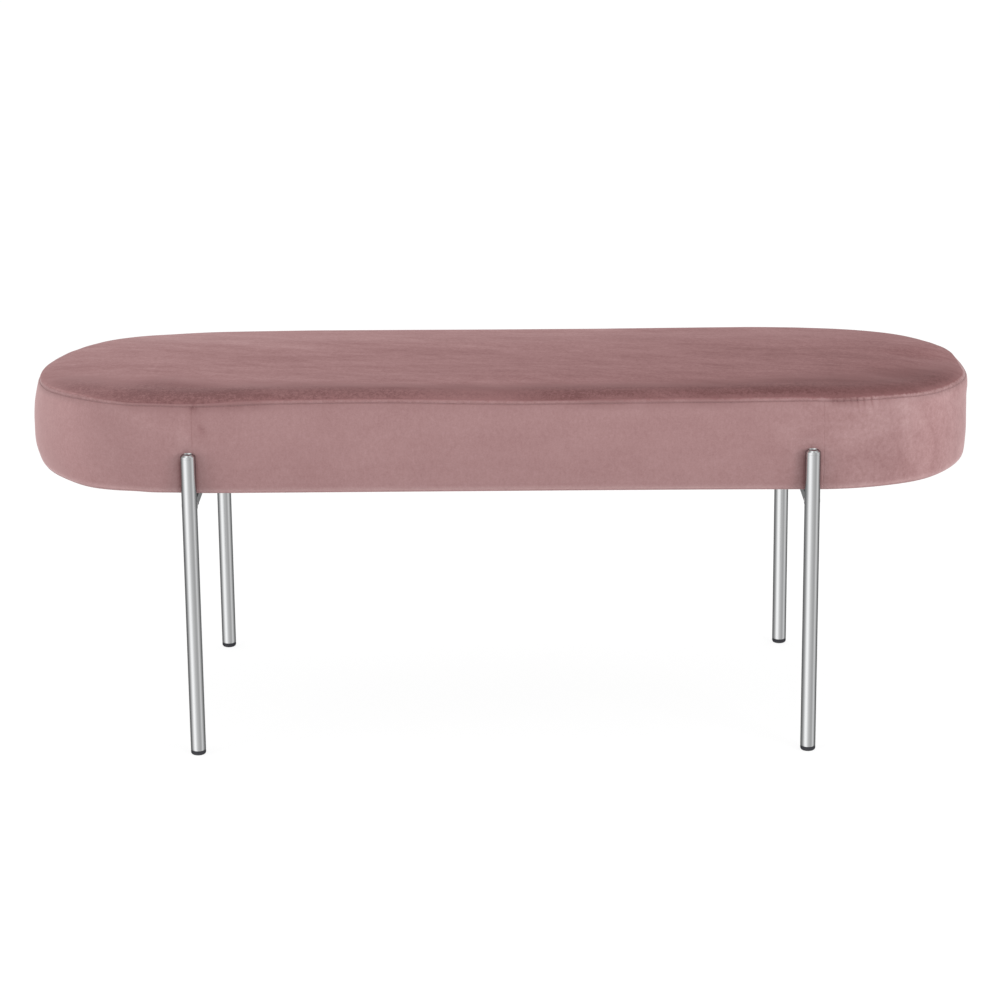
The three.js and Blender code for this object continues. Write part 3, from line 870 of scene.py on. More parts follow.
def make_weld(name, place, sign):
    """The rippled bead along the curve where a rail is welded to a leg, thick above and below the rail."""
    bm = bmesh.new()
    made = bmesh.ops.create_circle(bm, cap_ends=False, radius=WELD_RADIUS, segments=10)
    bmesh.ops.translate(bm, verts=made["verts"], vec=(TUBE_RADIUS, 0, 0))
    bmesh.ops.spin(
        bm, geom=made["verts"] + list(bm.edges), cent=(0, 0, 0), axis=(0, 1, 0), angle=2 * math.pi,
        steps=WELD_STEPS, use_merge=True,
    )
    bmesh.ops.remove_doubles(bm, verts=bm.verts, dist=1e-7)
    for vertex in bm.verts:
        angle = math.atan2(vertex.co.z, vertex.co.x)
        ring = Vector((math.cos(angle), 0, math.sin(angle))) * TUBE_RADIUS
        ripple = 1 + RIPPLE_SHARE * math.sin(WELD_RIPPLES * angle)
        vertex.co = ring + (vertex.co - ring) * ripple * (0.3 + 0.7 * abs(math.sin(angle)))
        vertex.co.y -= sign * float(cope(ring.x * 0.97))
    bmesh.ops.recalc_face_normals(bm, faces=bm.faces)
    bmesh.ops.translate(bm, verts=bm.verts, vec=place)
    finished(new_piece(name, bm), "leg_steel")


# Rail bolts and saddle washers

BOLT_LOW, BOLT_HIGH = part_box("rail_bolt_right_rear")
BOLT_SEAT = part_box("saddle_washer_right_rear")[0].z
BOLT_HEAD = BOLT_SEAT - BOLT_LOW.z
BOLT_TIP = BOLT_HIGH.z - BOLT_SEAT
BOLT_RADIUS = 3 * MM
BOLT_FLAT = 3.3 * MM
TIP_BEVEL = 0.6 * MM
SOCKET_RADIUS = 2.1 * MM
SOCKET_DEPTH = 1.8 * MM
WASHER_RADIUS = 6.5 * MM
WASHER_NECK = 1.2 * MM
WASHER_BEVEL = 0.25 * MM
SCREW_STEPS = 48


def bolt_places():
    for side, x in (("left", -LEG_X), ("right", LEG_X)):
        for depth in ("front", "middle", "rear"):
            low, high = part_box(f"rail_bolt_{side}_{depth}")
            yield f"{side}_{depth}", (x, (low.y + high.y) / 2, BOLT_SEAT)


def bolt_profile():
    """Socket, domed head and bevelled shank, from the head's seat on the washer."""
    head = (BOLT_HIGH.x - BOLT_LOW.x) / 2
    edge = 0.35 * MM
    profile = [
        (0, SOCKET_DEPTH - 0.3 * MM - BOLT_HEAD),
        (SOCKET_RADIUS, SOCKET_DEPTH - BOLT_HEAD),
        (SOCKET_RADIUS, 0.15 * MM - BOLT_HEAD),
        (SOCKET_RADIUS + 0.3 * MM, -BOLT_HEAD),
        (BOLT_FLAT, -BOLT_HEAD),
    ]
    for step in range(1, 7):
        angle = math.pi / 2 * step / 6
        radius = BOLT_FLAT + (head - BOLT_FLAT) * math.sin(angle)
        profile.append((radius, -BOLT_HEAD + (BOLT_HEAD - edge) * (1 - math.cos(angle))))
    profile += [(head - 0.15 * MM, 0), (BOLT_RADIUS, 0), (BOLT_RADIUS, BOLT_TIP - TIP_BEVEL)]
    profile += [(BOLT_RADIUS - TIP_BEVEL, BOLT_TIP), (0, BOLT_TIP)]
    return profile


def square_off_socket(bm):
    """Presses the round socket into a hexagon."""
    sixth = math.pi / 3
    for vertex in bm.verts:
        radius = math.hypot(vertex.co.x, vertex.co.y)
        if radius > SOCKET_RADIUS * 1.01 or radius < SOCKET_RADIUS * 0.9:
            continue
        angle = math.atan2(vertex.co.y, vertex.co.x)
        off_middle = (angle % sixth) - sixth / 2
        stretch = math.cos(sixth / 2) / math.cos(off_middle)
        vertex.co.x *= stretch
        vertex.co.y *= stretch


def bolt_mesh():
    bm = turned(bolt_profile(), SCREW_STEPS, closed=False)
    square_off_socket(bm)
    return bm


def washer_mesh():
    """A saddle washer: turned one unit high, with its upper face then laid against the round rail."""
    hollow = TUBE_RADIUS + 2 * JOINT_GAP
    hole = BOLT_RADIUS + 2 * JOINT_GAP
    profile = [(hole, 0), (WASHER_RADIUS - WASHER_BEVEL, 0), (WASHER_RADIUS, WASHER_BEVEL)]
    profile += [(WASHER_RADIUS, 1), (hole + (WASHER_RADIUS - hole) / 2, 1), (hole, 1)]
    bm = turned(profile, SCREW_STEPS)
    for vertex in bm.verts:
        if vertex.co.z > 0.5:
            vertex.co.z = hollow + WASHER_NECK - float(cope(vertex.co.x, hollow))
    return bm


def make_fixings():
    kinds = (("bolt", bolt_mesh, "rail_bolt"), ("washer", washer_mesh, "saddle_washer"))
    for name, place in bolt_places():
        for kind, make_mesh, node in kinds:
            bm = make_mesh()
            bmesh.ops.translate(bm, verts=bm.verts, vec=place)
            finished(new_piece(f"{kind}_{name}", bm), "fixing_zinc", f"{node}_{name}", sharp=35)


# Pads inside the cover, dust cover and staples

def make_foam():
    """The foam on the deck, crowned just inside the cover and following its swaying seam."""
    inside = [(HALF_DEPTH, DECK_TOP), (side_inset(DECK_TOP) + LINING, DECK_TOP)]
    for share in (0.2, 0.5, 0.8, 1):
        height = DECK_TOP + (STITCH_HEIGHT - DECK_TOP) * share
        inside.append((side_inset(height) + LINING, height))
    top = CROWN_TOP - LINING
    for share in (0.05, 0.16, 0.3, 0.5, 0.75, 1):
        inside.append((SEAM_INSET + LINING + CROWN_REACH * share, crown_height(share, top)))
    inside.append((HALF_DEPTH, top))
    foam = new_piece("foam_core", racetrack(inside, 36, 40))
    places = points_of(foam.data)
    outward, reach, angle = station(places)
    lap = lap_of(places)
    edge = smooth_step(DECK_TOP, SEAM_HEIGHT, places[:, 2])
    edge *= smooth_step(HALF_DEPTH - 130 * MM, HALF_DEPTH - 40 * MM, reach)
    places += outward * (end_shape(lap, np.zeros(len(lap)), places[:, 2]) * edge)[:, None]
    places[:, 2] += seam_sway(lap) * edge
    set_points(foam.data, places)
    finished(foam, "foam", "foam_pad", sharp=40)


def make_wadding():
    """The wadding round the plywood box, just inside the cover's side."""
    wood = HALF_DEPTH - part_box("base_board")[1].y - 2 * JOINT_GAP
    skirt = []
    for share in (0, 0.35, 0.7, 1):
        height = DECK_TOP - (DECK_TOP - HEM_TOP) * share
        skirt.append((side_inset(height) + LINING, height))
    skirt += [(wood, BOARD_UNDERSIDE + 2 * JOINT_GAP), (wood, DECK_TOP)]
    wadding = new_piece("wadding_skirt", racetrack(skirt, 36, 20, closed=True))
    finished(wadding, "wadding", "side_wadding", sharp=40)


LINER_INSET = HALF_DEPTH - LINER_HIGH.y
LINER_THICKNESS = 0.4 * MM
STAPLE_PULL = 1.1 * MM
STAPLE_INSET = LINER_INSET + 7 * MM
STAPLE_COUNT = round(LAP_LENGTH / (42 * MM))
STAPLE_SIZE = (10 * MM, 1.1 * MM, 0.5 * MM)


def outline_point(lap, inset):
    """(place, direction along) on the seat's outline at an inset, for a lap as lap_of gives it."""
    along = (lap + END_CENTRE) % LAP_LENGTH
    rear = along >= LAP_LENGTH / 2
    along -= LAP_LENGTH / 2 if rear else 0
    turn = 0 if along < 2 * END_CENTRE else (along - 2 * END_CENTRE) / HALF_DEPTH
    angle = turn - math.pi / 2
    reach = HALF_DEPTH - inset
    x = min(along, 2 * END_CENTRE) - END_CENTRE + math.cos(angle) * reach
    y = math.sin(angle) * reach
    sign = -1 if rear else 1
    return Vector((sign * x, sign * y, 0)), Vector((-sign * math.sin(angle), sign * math.cos(angle), 0))


def staple_laps():
    """Even places round the dust cover's edge, save under the cross rails."""
    for number in range(STAPLE_COUNT):
        lap = LAP_LENGTH * (number + 0.5) / STAPLE_COUNT
        place, along = outline_point(lap, STAPLE_INSET)
        if abs(abs(place.x) - LEG_X) > TUBE_RADIUS + STAPLE_SIZE[0]:
            yield lap


def make_dust_cover():
    """The dust cover, stretched over the underside, with small pulls at the staples."""
    spread = HALF_DEPTH - LINER_INSET
    rows = [(LINER_INSET + spread * share, LINER_HIGH.z) for share in (0, 0.03, 0.06, 0.12, 0.25, 0.5, 1)]
    bm = racetrack(rows)
    bm.normal_update()
    bmesh.ops.reverse_faces(bm, faces=[face for face in bm.faces if face.normal.z > 0])
    liner = new_piece("dust_cover_cloth", bm)
    subdivide(liner, 1)
    places = points_of(liner.data)
    outward, reach, angle = station(places)
    lap = lap_of(places)
    pull = 0.5 + 0.5 * np.cos(2 * math.pi * lap / (LAP_LENGTH / STAPLE_COUNT))
    inside = HALF_DEPTH - LINER_INSET - reach
    places -= outward * (STAPLE_PULL * pull * np.exp(-inside / (5 * MM)))[:, None]
    places[:, 2] += 0.1 * MM * (small_waves(lap, reach) - 1.2)
    set_points(liner.data, places)
    give_thickness(liner, LINER_THICKNESS)
    finished(liner, "dust_cover", "dust_cover")


def make_staples():
    bm = bmesh.new()
    low = LINER_LOW.z - STAPLE_SIZE[2] * 0.3
    for lap in staple_laps():
        place, along = outline_point(lap, STAPLE_INSET)
        turn = Matrix.Rotation(math.atan2(along.y, along.x), 4, "Z")
        size = Matrix.Diagonal((*STAPLE_SIZE, 1))
        place.z = low
        bmesh.ops.create_cube(bm, size=1, matrix=Matrix.Translation(place) @ turn @ size)
    bmesh.ops.bevel(
        bm, geom=list(bm.edges), offset=0.2 * MM, segments=2, profile=0.5, affect="EDGES", material=-1
    )
    finished(new_piece("dust_cover_staples", bm), "fixing_zinc")


# Topstitching

STITCH_PITCH = 4.2 * MM
STITCH_SIZE = (1.75 * MM, 0.34 * MM, 0.3 * MM)
STITCH_LIFT = 0.12 * MM


def stitch_line(shell):
    """The bottom of the stitch groove as a closed line of points."""
    bm = bmesh.new()
    bm.from_mesh(shell.data)
    edge = next(edge for edge in bm.edges if edge.seam)
    first = vertex = edge.verts[0]
    line = []
    while True:
        line.append(vertex.co.copy())
        vertex = edge.other_vert(vertex)
        if vertex == first:
            break
        edge = next(other for other in vertex.link_edges if other.seam and other != edge)
    bm.free()
    return line


def make_topstitching(line):
    """One small thread loop for each stitch, lying in the groove."""
    points = line + [line[0]]
    steps = [0.0]
    for before, after in zip(points, points[1:]):
        steps.append(steps[-1] + (after - before).length)
    count = round(steps[-1] / STITCH_PITCH)
    template = bmesh.new()
    bmesh.ops.create_uvsphere(template, u_segments=6, v_segments=6, radius=1)
    stitch = bpy.data.meshes.new("stitch")
    bm = bmesh.new()
    at = 0
    for number in range(count):
        reach = steps[-1] * number / count
        while steps[at + 1] < reach:
            at += 1
        share = (reach - steps[at]) / (steps[at + 1] - steps[at])
        place = points[at].lerp(points[at + 1], share)
        along = (points[at + 1] - points[at]).normalized()
        out = along.cross(Vector((0, 0, 1))).normalized()
        middle = Vector((max(-END_CENTRE, min(END_CENTRE, place.x)), 0, place.z))
        if out.dot(place - middle) < 0:
            out.negate()
        across = out.cross(along)
        turn = Matrix((along, across, out)).transposed().to_4x4()
        size = Matrix.Diagonal((*STITCH_SIZE, 1))
        template.to_mesh(stitch)
        stitch.transform(Matrix.Translation(place + out * STITCH_LIFT) @ turn @ size)
        bm.from_mesh(stitch)
    template.free()
    finished(new_piece("topstitching", bm), "velvet")


# Materials

def linear(red, green, blue):
    """A colour given in 0 to 255 as the display shows it, as the shader needs it."""
    parts = [channel / 255 for channel in (red, green, blue)]
    return tuple(p / 12.92 if p <= 0.04045 else ((p + 0.055) / 1.055) ** 2.4 for p in parts) + (1,)


class Wiring:
    """A node tree with short ways to add and join nodes."""

    def __init__(self, tree):
        self.tree = tree
        self.tree.nodes.clear()

    def add(self, kind, **inputs):
        """A new node with its inputs joined or set, _ standing for a space in their names."""
        node = self.tree.nodes.new(kind)
        for name, value in inputs.items():
            self.feed(node.inputs[name.replace("_", " ")], value)
        return node

    def feed(self, socket, value):
        if isinstance(value, bpy.types.NodeSocket):
            self.tree.links.new(value, socket)
        else:
            socket.default_value = value

    def calc(self, operation, first, second=0.0):
        """A Math node's output."""
        node = self.tree.nodes.new("ShaderNodeMath")
        node.operation = operation
        self.feed(node.inputs[0], first)
        self.feed(node.inputs[1], second)
        return node.outputs[0]

    def times(self, first, second):
        return self.calc("MULTIPLY", first, second)

    def minus(self, first, second):
        return self.calc("SUBTRACT", first, second)

    def centred(self, fraction):
        """A noise value moved from 0 to 1 onto -0.5 to 0.5."""
        return self.minus(fraction, 0.5)

    def total(self, start, *parts):
        """A start value plus each value times its weight."""
        for value, weight in parts:
            start = self.calc("ADD", start, self.times(value, weight))
        return start

    def scaled(self, colour, factor):
        node = self.tree.nodes.new("ShaderNodeVectorMath")
        node.operation = "SCALE"
        self.feed(node.inputs[0], colour)
        self.feed(node.inputs["Scale"], factor)
        return node.outputs[0]

    def blend(self, share, first, second, kind="MIX"):
        """A colour Mix node's output."""
        node = self.tree.nodes.new("ShaderNodeMix")
        node.data_type = "RGBA"
        node.blend_type = kind
        self.feed(node.inputs[0], share)
        self.feed(node.inputs[6], first)
        self.feed(node.inputs[7], second)
        return node.outputs[2]

    def stretched(self, vector, scale):
        node = self.add("ShaderNodeMapping", Vector=vector, Scale=scale)
        return node.outputs["Vector"]

    def noise(self, vector, scale, detail=2.0, distortion=0.0, roughness=0.5):
        node = self.add(
            "ShaderNodeTexNoise", Vector=vector, Scale=scale, Detail=detail, Distortion=distortion,
            Roughness=roughness,
        )
        return node.outputs["Fac"]

    def ramp(self, value, low, high):
        """0 below low, 1 above high and a smooth rise between."""
        node = self.tree.nodes.new("ShaderNodeMapRange")
        node.interpolation_type = "SMOOTHSTEP"
        for name, given in (("Value", value), ("From Min", low), ("From Max", high)):
            self.feed(node.inputs[name], given)
        return node.outputs["Result"]

    def fall(self, value, low, high):
        """1 below low, 0 above high and a smooth fall between."""
        return self.minus(1.0, self.ramp(value, low, high))

    def read(self, name):
        node = self.add("ShaderNodeAttribute")
        node.attribute_name = name
        return node.outputs["Fac"]


def new_group(name, inputs, outputs):
    """A node group with named sockets, given as (name, kind, default) and (name, kind)."""
    group = bpy.data.node_groups.new(name, "ShaderNodeTree")
    wiring = Wiring(group)
    for label, kind, default in inputs:
        socket = group.interface.new_socket(name=label, in_out="INPUT", socket_type=f"NodeSocket{kind}")
        if default is not None:
            socket.default_value = default
    for label, kind in outputs:
        group.interface.new_socket(name=label, in_out="OUTPUT", socket_type=f"NodeSocket{kind}")
    entry = group.nodes.new("NodeGroupInput")
    leave = group.nodes.new("NodeGroupOutput")
    return group, wiring, entry.outputs, leave.inputs


def new_material(name):
    """A material with its Principled shader, and the object's own coordinates."""
    material = bpy.data.materials.new(name)
    material.use_nodes = True
    wiring = Wiring(material.node_tree)
    shader = wiring.add("ShaderNodeBsdfPrincipled")
    wiring.add("ShaderNodeOutputMaterial", Surface=shader.outputs[0])
    return material, wiring, shader, wiring.add("ShaderNodeTexCoord").outputs["Object"]


def use_group(wiring, group, **inputs):
    node = wiring.tree.nodes.new("ShaderNodeGroup")
    node.node_tree = group
    for name, value in inputs.items():
        wiring.feed(node.inputs[name.replace("_", " ")], value)
    return node.outputs


def surface(wiring, shader, colour, roughness, relief, **constants):
    """Gives a shader its colour, its roughness and its relief, as (height, strength, distance), and sets the
    other inputs that are named."""
    height, strength, distance = relief
    bumps = wiring.add("ShaderNodeBump", Height=height, Strength=strength, Distance=distance)
    wiring.feed(shader.inputs["Base Color"], colour)
    wiring.feed(shader.inputs["Roughness"], roughness)
    wiring.feed(shader.inputs["Normal"], bumps.outputs["Normal"])
    for name, value in constants.items():
        wiring.feed(shader.inputs[name.replace("_", " ")], value)


# Velvet: painted light, a lighter patch and rougher pile, as the starts and ends of ramps along X or up Z

# Painted sheen where the top turns away at its far right
TOP_RIGHT = (0.5, 0.6)
PATCH_START, PATCH_END = (0.34, 0.45), (0.49, 0.58)
PATCH_LOWER_EDGE = (SEAM_HEIGHT - 65 * MM, SEAM_HEIGHT - 35 * MM)
ROUGH_START = (0.3, 0.45)
# Painted sheen at the band's far left
LEFT_LIGHT = (-0.5, -0.59)
# Painted highlight along the hem
HEM_HIGHLIGHT_START, HEM_HIGHLIGHT_END = (-7.2 * MM, -5.2 * MM), (-4.4 * MM, 1 * MM)
SLANT = math.radians(24)


def pile_noises(w, vector):
    """Noises about 0: the fine ones of the pile's tufts, clouds, and the ways it was stroked."""
    slant = w.add("ShaderNodeMapping", Vector=vector, Rotation=(0, 0, SLANT)).outputs["Vector"]
    noises = {
        "grain": w.noise(vector, 480, detail=3, roughness=0.75),
        "mottle": w.noise(vector, 190, detail=2, roughness=0.6),
        "stroke": w.noise(w.stretched(vector, (1, 1, 0.4)), 330, detail=2),
        "streak": w.noise(w.stretched(vector, (5, 60, 60)), 1.0, detail=3, distortion=0.4),
        "brush": w.noise(w.stretched(slant, (22, 90, 60)), 1.0, detail=3, distortion=0.3),
        "sweep": w.noise(w.stretched(slant, (3, 26, 20)), 1.0, detail=2, distortion=0.3),
        "cloud": w.noise(vector, 15, detail=3, distortion=0.8),
    }
    return {name: w.centred(value) for name, value in noises.items()}


def top_light(w, noise, x, y):
    """Painted light over the top: lighter to the left, painted sheen at the far right and to the rear, with the
    pile's streaks, brushing and grain.
    """
    return w.total(
        0.0, (x, -0.3), (w.ramp(x, *TOP_RIGHT), 0.12), (noise["streak"], 0.3), (noise["brush"], 0.28),
        (w.ramp(y, 0.0, HALF_DEPTH), 0.23), (noise["mottle"], 0.22), (noise["grain"], 0.12),
        (noise["sweep"], 0.28),
    )


def band_light(w, noise, x, z, run):
    """How much lighter the pile is painted on the band: a lighter patch high on the right end, a painted highlight
    along the hem and painted sheen at the far left, with rougher pile to the right."""
    patch = w.times(w.ramp(x, *PATCH_START), w.fall(x, *PATCH_END))
    upper = w.ramp(w.total(z, (noise["cloud"], 0.03)), *PATCH_LOWER_EDGE)
    rougher = w.total(0.0, (noise["cloud"], 0.42), (noise["mottle"], 0.2), (noise["brush"], 0.1))
    past_hem = w.minus(run, HEM_RUN)
    hem = w.minus(w.ramp(past_hem, *HEM_HIGHLIGHT_START), w.ramp(past_hem, *HEM_HIGHLIGHT_END))
    return w.total(
        0.0, (w.times(patch, upper), 0.12), (noise["streak"], 0.08), (hem, 0.19),
        (w.times(rougher, w.ramp(x, *ROUGH_START)), 1.0), (w.ramp(x, *LEFT_LIGHT), 0.08),
    )


def tube_shade(w, x, z):
    """Painted shade beside the tubes: a painted contact shadow where a tube touches the pile and a painted shadow to
    the left of each, less by its cap, and painted light a little further out."""
    outside = w.minus(w.calc("ABSOLUTE", x), LEG_X)
    shifted = w.minus(outside, 1 * MM)
    over = w.calc("MAXIMUM", 0.0, w.minus(z, CAP_TOP - 10 * MM))
    beside = w.calc("SQRT", w.calc("ADD", w.times(shifted, shifted), w.times(over, over)))
    contact = w.fall(beside, TUBE_RADIUS + 1.4 * MM, TUBE_RADIUS + 3 * MM)
    soft = w.fall(beside, TUBE_RADIUS + 0.5 * MM, TUBE_RADIUS + 8 * MM)
    open_side = w.fall(beside, TUBE_RADIUS + 6 * MM, TUBE_RADIUS + 22 * MM)
    left_of = w.fall(w.times(outside, w.calc("SIGN", x)), -1 * MM, 0.0)
    below_cap = w.total(1.0, (w.ramp(z, CAP_TOP - 16 * MM, CAP_TOP - 5 * MM), -0.75))
    shade = w.total(0.0, (contact, 0.14), (w.times(soft, left_of), 0.22))
    return w.total(0.0, (w.times(shade, below_cap), 1.0), (open_side, -0.06))


def pile_group():
    """Colour and height of the velvet: the band's and the top's colour, painted shade along the crown's front and
    below the seam, the pile's grain and strokes, painted shade in the creases, the rolled seam, painted light over
    the top and band and painted shade beside the tubes."""
    group, w, given, out = new_group(
        "velvet_pile",
        [
            ("Vector", "Vector", None),
            ("Run", "Float", 0.0),
            ("Crease", "Float", 0.0),
            ("Nap", "Float", 0.0),
            ("Band Colour", "Color", (0.4, 0.2, 0.2, 1)),
            ("Top Colour", "Color", (0.35, 0.2, 0.2, 1)),
            ("Dark Colour", "Color", (0.25, 0.12, 0.12, 1)),
        ],
        [("Colour", "Color"), ("Height", "Float")],
    )
    run = given["Run"]
    x, y, z = w.add("ShaderNodeSeparateXYZ", Vector=given["Vector"]).outputs
    noise = pile_noises(w, given["Vector"])
    grain, mottle, cloud = noise["grain"], noise["mottle"], noise["cloud"]

    top = w.ramp(w.total(run, (noise["stroke"], 7 * MM), (grain, 4 * MM)), -2.4 * MM, 1.2 * MM)
    # Painted shade along the crown's front and below the seam, uneven with the pile's noises
    uneven = w.total(1.0, (cloud, 0.9), (noise["brush"], 0.8), (mottle, 2.2), (grain, 3.0))
    dark = w.times(given["Nap"], uneven)
    dark.node.use_clamp = True
    colour = w.blend(top, given["Band Colour"], given["Top Colour"])
    colour = w.blend(dark, colour, given["Dark Colour"])

    # Painted shade in the creases, uneven with the pile's noises
    creased = w.times(given["Crease"], w.total(1.0, (mottle, 2.0), (cloud, 1.0)))
    on_roll = w.times(w.ramp(run, -6 * MM, -4 * MM), w.fall(run, 0.0, 3 * MM))
    beads = w.times(on_roll, w.total(0.0, (mottle, 0.3), (grain, 0.35)))
    # How light the colour is painted: painted light over the top and band, painted shade in the creases and beside
    # the tubes, and random tone of the pile
    lit = w.total(
        1.0, (w.times(top_light(w, noise, x, y), top), 1.0),
        (w.times(band_light(w, noise, x, z, run), w.minus(1.0, top)), 1.0),
        (cloud, 0.17), (mottle, 0.13), (grain, 0.32), (noise["stroke"], 0.12),
        (creased, -0.22), (tube_shade(w, x, z), -1.0), (beads, 1.0),
    )
    # Painted shade also deepens the colour towards red, painted light makes it paler
    deeper = w.total(0.65, (lit, 0.35))
    tint = w.add("ShaderNodeCombineXYZ", X=1.0, Y=deeper, Z=deeper).outputs[0]
    w.feed(out["Colour"], w.blend(1.0, w.scaled(colour, lit), tint, "MULTIPLY"))
    w.feed(out["Height"], w.total(0.5, (grain, 0.6), (noise["stroke"], 0.4)))
    return group


def velvet_material(name, group, sheen, rim):
    """Velvet; rim is how much painted sheen lightens the colour where the pile turns away from the eye, below the
    seam.
    """
    material, w, shader, place = new_material(name)
    # The top's colour is a little darker and redder than the band's: painted shade on the top
    pile = use_group(
        w, group, Vector=place, Run=w.read("run"), Crease=w.read("crease"), Nap=w.read("nap"),
        Band_Colour=linear(170, 133, 133), Top_Colour=linear(167, 124, 124), Dark_Colour=linear(123, 84, 84),
    )
    # Painted sheen: the colour is lighter where the pile turns away from the eye
    facing = w.add("ShaderNodeLayerWeight").outputs["Facing"]
    turned_away = w.ramp(facing, 0.12, 0.45)
    below_seam = w.fall(w.read("run"), -14 * MM, -5 * MM)
    rim_light = w.total(0.0, (turned_away, 1.0), (w.ramp(facing, 0.55, 0.95), 0.5))
    lighter = w.total(1.0, (w.times(rim_light, below_seam), rim))
    # Painted dark reflection: in the steel's reflections the velvet is drawn at half its colour
    in_steel = w.add("ShaderNodeLightPath").outputs["Is Glossy Ray"]
    lighter = w.times(lighter, w.total(1.0, (in_steel, -0.5)))
    surface(
        w, shader, w.scaled(pile["Colour"], lighter), 0.9, (pile["Height"], 0.3, 0.5 * MM),
        Specular_IOR_Level=0.1, Sheen_Weight=sheen, Sheen_Roughness=0.3, Sheen_Tint=(1.0, 0.74, 0.74, 1),
    )
    return material


def brushing_group():
    """Fine lines, soft smudges and roughness of brushed metal."""
    group, w, given, out = new_group(
        "metal_brushing",
        [("Vector", "Vector", None), ("Roughness", "Float", 0.2), ("Colour", "Color", (0.8, 0.8, 0.8, 1))],
        [("Colour", "Color"), ("Roughness", "Float"), ("Height", "Float")],
    )
    lines = w.noise(given["Vector"], 1.0, detail=3, roughness=0.6)
    smudge = w.noise(w.add("ShaderNodeTexCoord").outputs["Object"], 14, detail=2)
    rough = w.total(given["Roughness"], (w.centred(lines), 0.05), (w.centred(smudge), 0.04))
    lit = w.total(1.0, (w.centred(lines), 0.05))
    w.feed(out["Colour"], w.scaled(given["Colour"], lit))
    w.feed(out["Roughness"], rough)
    w.feed(out["Height"], lines)
    return group


def metal_material(name, group, colour, roughness, line_scale, strength=0.02, edge=0.0):
    """Brushed metal; edge is how much darker its colour is painted where it turns away from the eye, a painted dark
    reflection.
    """
    material, w, shader, place = new_material(name)
    finish = use_group(w, group, Vector=w.stretched(place, line_scale), Roughness=roughness, Colour=colour)
    # Painted dark reflection at the sides that turn away from the eye
    turned_away = w.ramp(w.add("ShaderNodeLayerWeight").outputs["Facing"], 0.33, 0.6)
    colour = w.scaled(finish["Colour"], w.total(1.0, (turned_away, -edge)))
    surface(w, shader, colour, finish["Roughness"], (finish["Height"], strength, 0.05 * MM), Metallic=1.0)
    return material


def rubber_material():
    """Moulded rubber, scuffed lighter towards the floor."""
    material, w, shader, place = new_material("foot_rubber_moulded")
    grain = w.noise(place, 1500, detail=3)
    scuff = w.noise(place, 160, detail=3)
    height = w.add("ShaderNodeSeparateXYZ", Vector=place).outputs["Z"]
    low = w.add("ShaderNodeMapRange", Value=height, From_Max=FOOT_ROUND, To_Min=1.0, To_Max=0.0)
    worn = w.times(low.outputs[0], scuff)
    colour = w.blend(worn, linear(58, 58, 64), linear(104, 103, 106))
    surface(w, shader, colour, w.total(0.5, (scuff, 0.2)), (grain, 0.25, 0.1 * MM))
    return material


def zinc_material():
    """Zinc plate with a fine spangle."""
    material, w, shader, place = new_material("fixing_zinc_plate")
    spangle = w.add("ShaderNodeTexVoronoi", Vector=place, Scale=900.0)
    tone = w.add("ShaderNodeSeparateColor", Color=spangle.outputs["Color"]).outputs[0]
    colour = w.blend(tone, linear(176, 180, 184), linear(206, 208, 210))
    relief = (w.noise(place, 2400, detail=2), 0.1, 0.05 * MM)
    surface(w, shader, colour, w.total(0.32, (tone, 0.14)), relief, Metallic=1.0)
    return material


PLY = 1.4 * MM


def plywood_material():
    """Birch plywood: plies across the height, with the grain turned from ply to ply."""
    material, w, shader, place = new_material("plywood_birch")
    height = w.add("ShaderNodeSeparateXYZ", Vector=place).outputs["Z"]
    turned_ply = w.calc("GREATER_THAN", w.calc("DIVIDE", w.calc("PINGPONG", height, PLY), PLY), 0.5)
    along = w.noise(w.stretched(place, (6, 130, 130)), 1.0, detail=4, distortion=0.6)
    across = w.noise(w.stretched(place, (130, 6, 130)), 1.0, detail=4, distortion=0.6)
    mixed = w.add("ShaderNodeMix", Factor=turned_ply)
    w.feed(mixed.inputs[2], along)
    w.feed(mixed.inputs[3], across)
    grain = mixed.outputs[0]
    figure = w.blend(grain, linear(190, 150, 100), linear(224, 190, 140))
    colour = w.blend(w.times(turned_ply, 0.35), figure, linear(168, 124, 78))
    surface(w, shader, colour, 0.75, (grain, 0.2, 0.2 * MM))
    return material


def foam_material():
    material, w, shader, place = new_material("foam_cut")
    cells = w.add("ShaderNodeTexVoronoi", Vector=place, Scale=650.0).outputs["Distance"]
    colour = w.blend(cells, linear(206, 188, 134), linear(244, 232, 190))
    surface(w, shader, colour, 0.95, (cells, 0.6, 0.6 * MM))
    return material


def wadding_material():
    material, w, shader, place = new_material("wadding_fibre")
    fibre = w.noise(w.stretched(place, (60, 60, 200)), 4.0, detail=5, distortion=2.5)
    colour = w.blend(fibre, linear(214, 211, 204), linear(246, 245, 241))
    surface(w, shader, colour, 1.0, (fibre, 0.6, 1 * MM), Sheen_Weight=0.3)
    return material


def liner_material():
    """Spun-bonded dust cover: pressed dots in a fibrous sheet."""
    material, w, shader, place = new_material("dust_cover_spunbond")
    dots = w.add("ShaderNodeTexVoronoi", Vector=place, Scale=420.0, Randomness=0.12)
    pressed = w.add("ShaderNodeMapRange", Value=dots.outputs["Distance"], From_Min=0.18, From_Max=0.34)
    fibre = w.noise(w.stretched(place, (90, 40, 90)), 6.0, detail=4, distortion=3.0)
    colour = w.blend(fibre, linear(24, 24, 27), linear(52, 52, 56))
    colour = w.blend(pressed.outputs[0], linear(16, 16, 18), colour)
    relief = (w.calc("ADD", pressed.outputs[0], fibre), 0.4, 0.15 * MM)
    surface(w, shader, colour, w.total(0.6, (pressed.outputs[0], 0.3)), relief)
    return material


def thread_material():
    material, w, shader, place = new_material("topstitch_thread")
    twist = w.noise(place, 2200, detail=2)
    colour = w.blend(twist, linear(140, 104, 104), linear(176, 138, 138))
    surface(w, shader, colour, 0.6, (twist, 0.4, 0.1 * MM), Sheen_Weight=0.3)
    return material


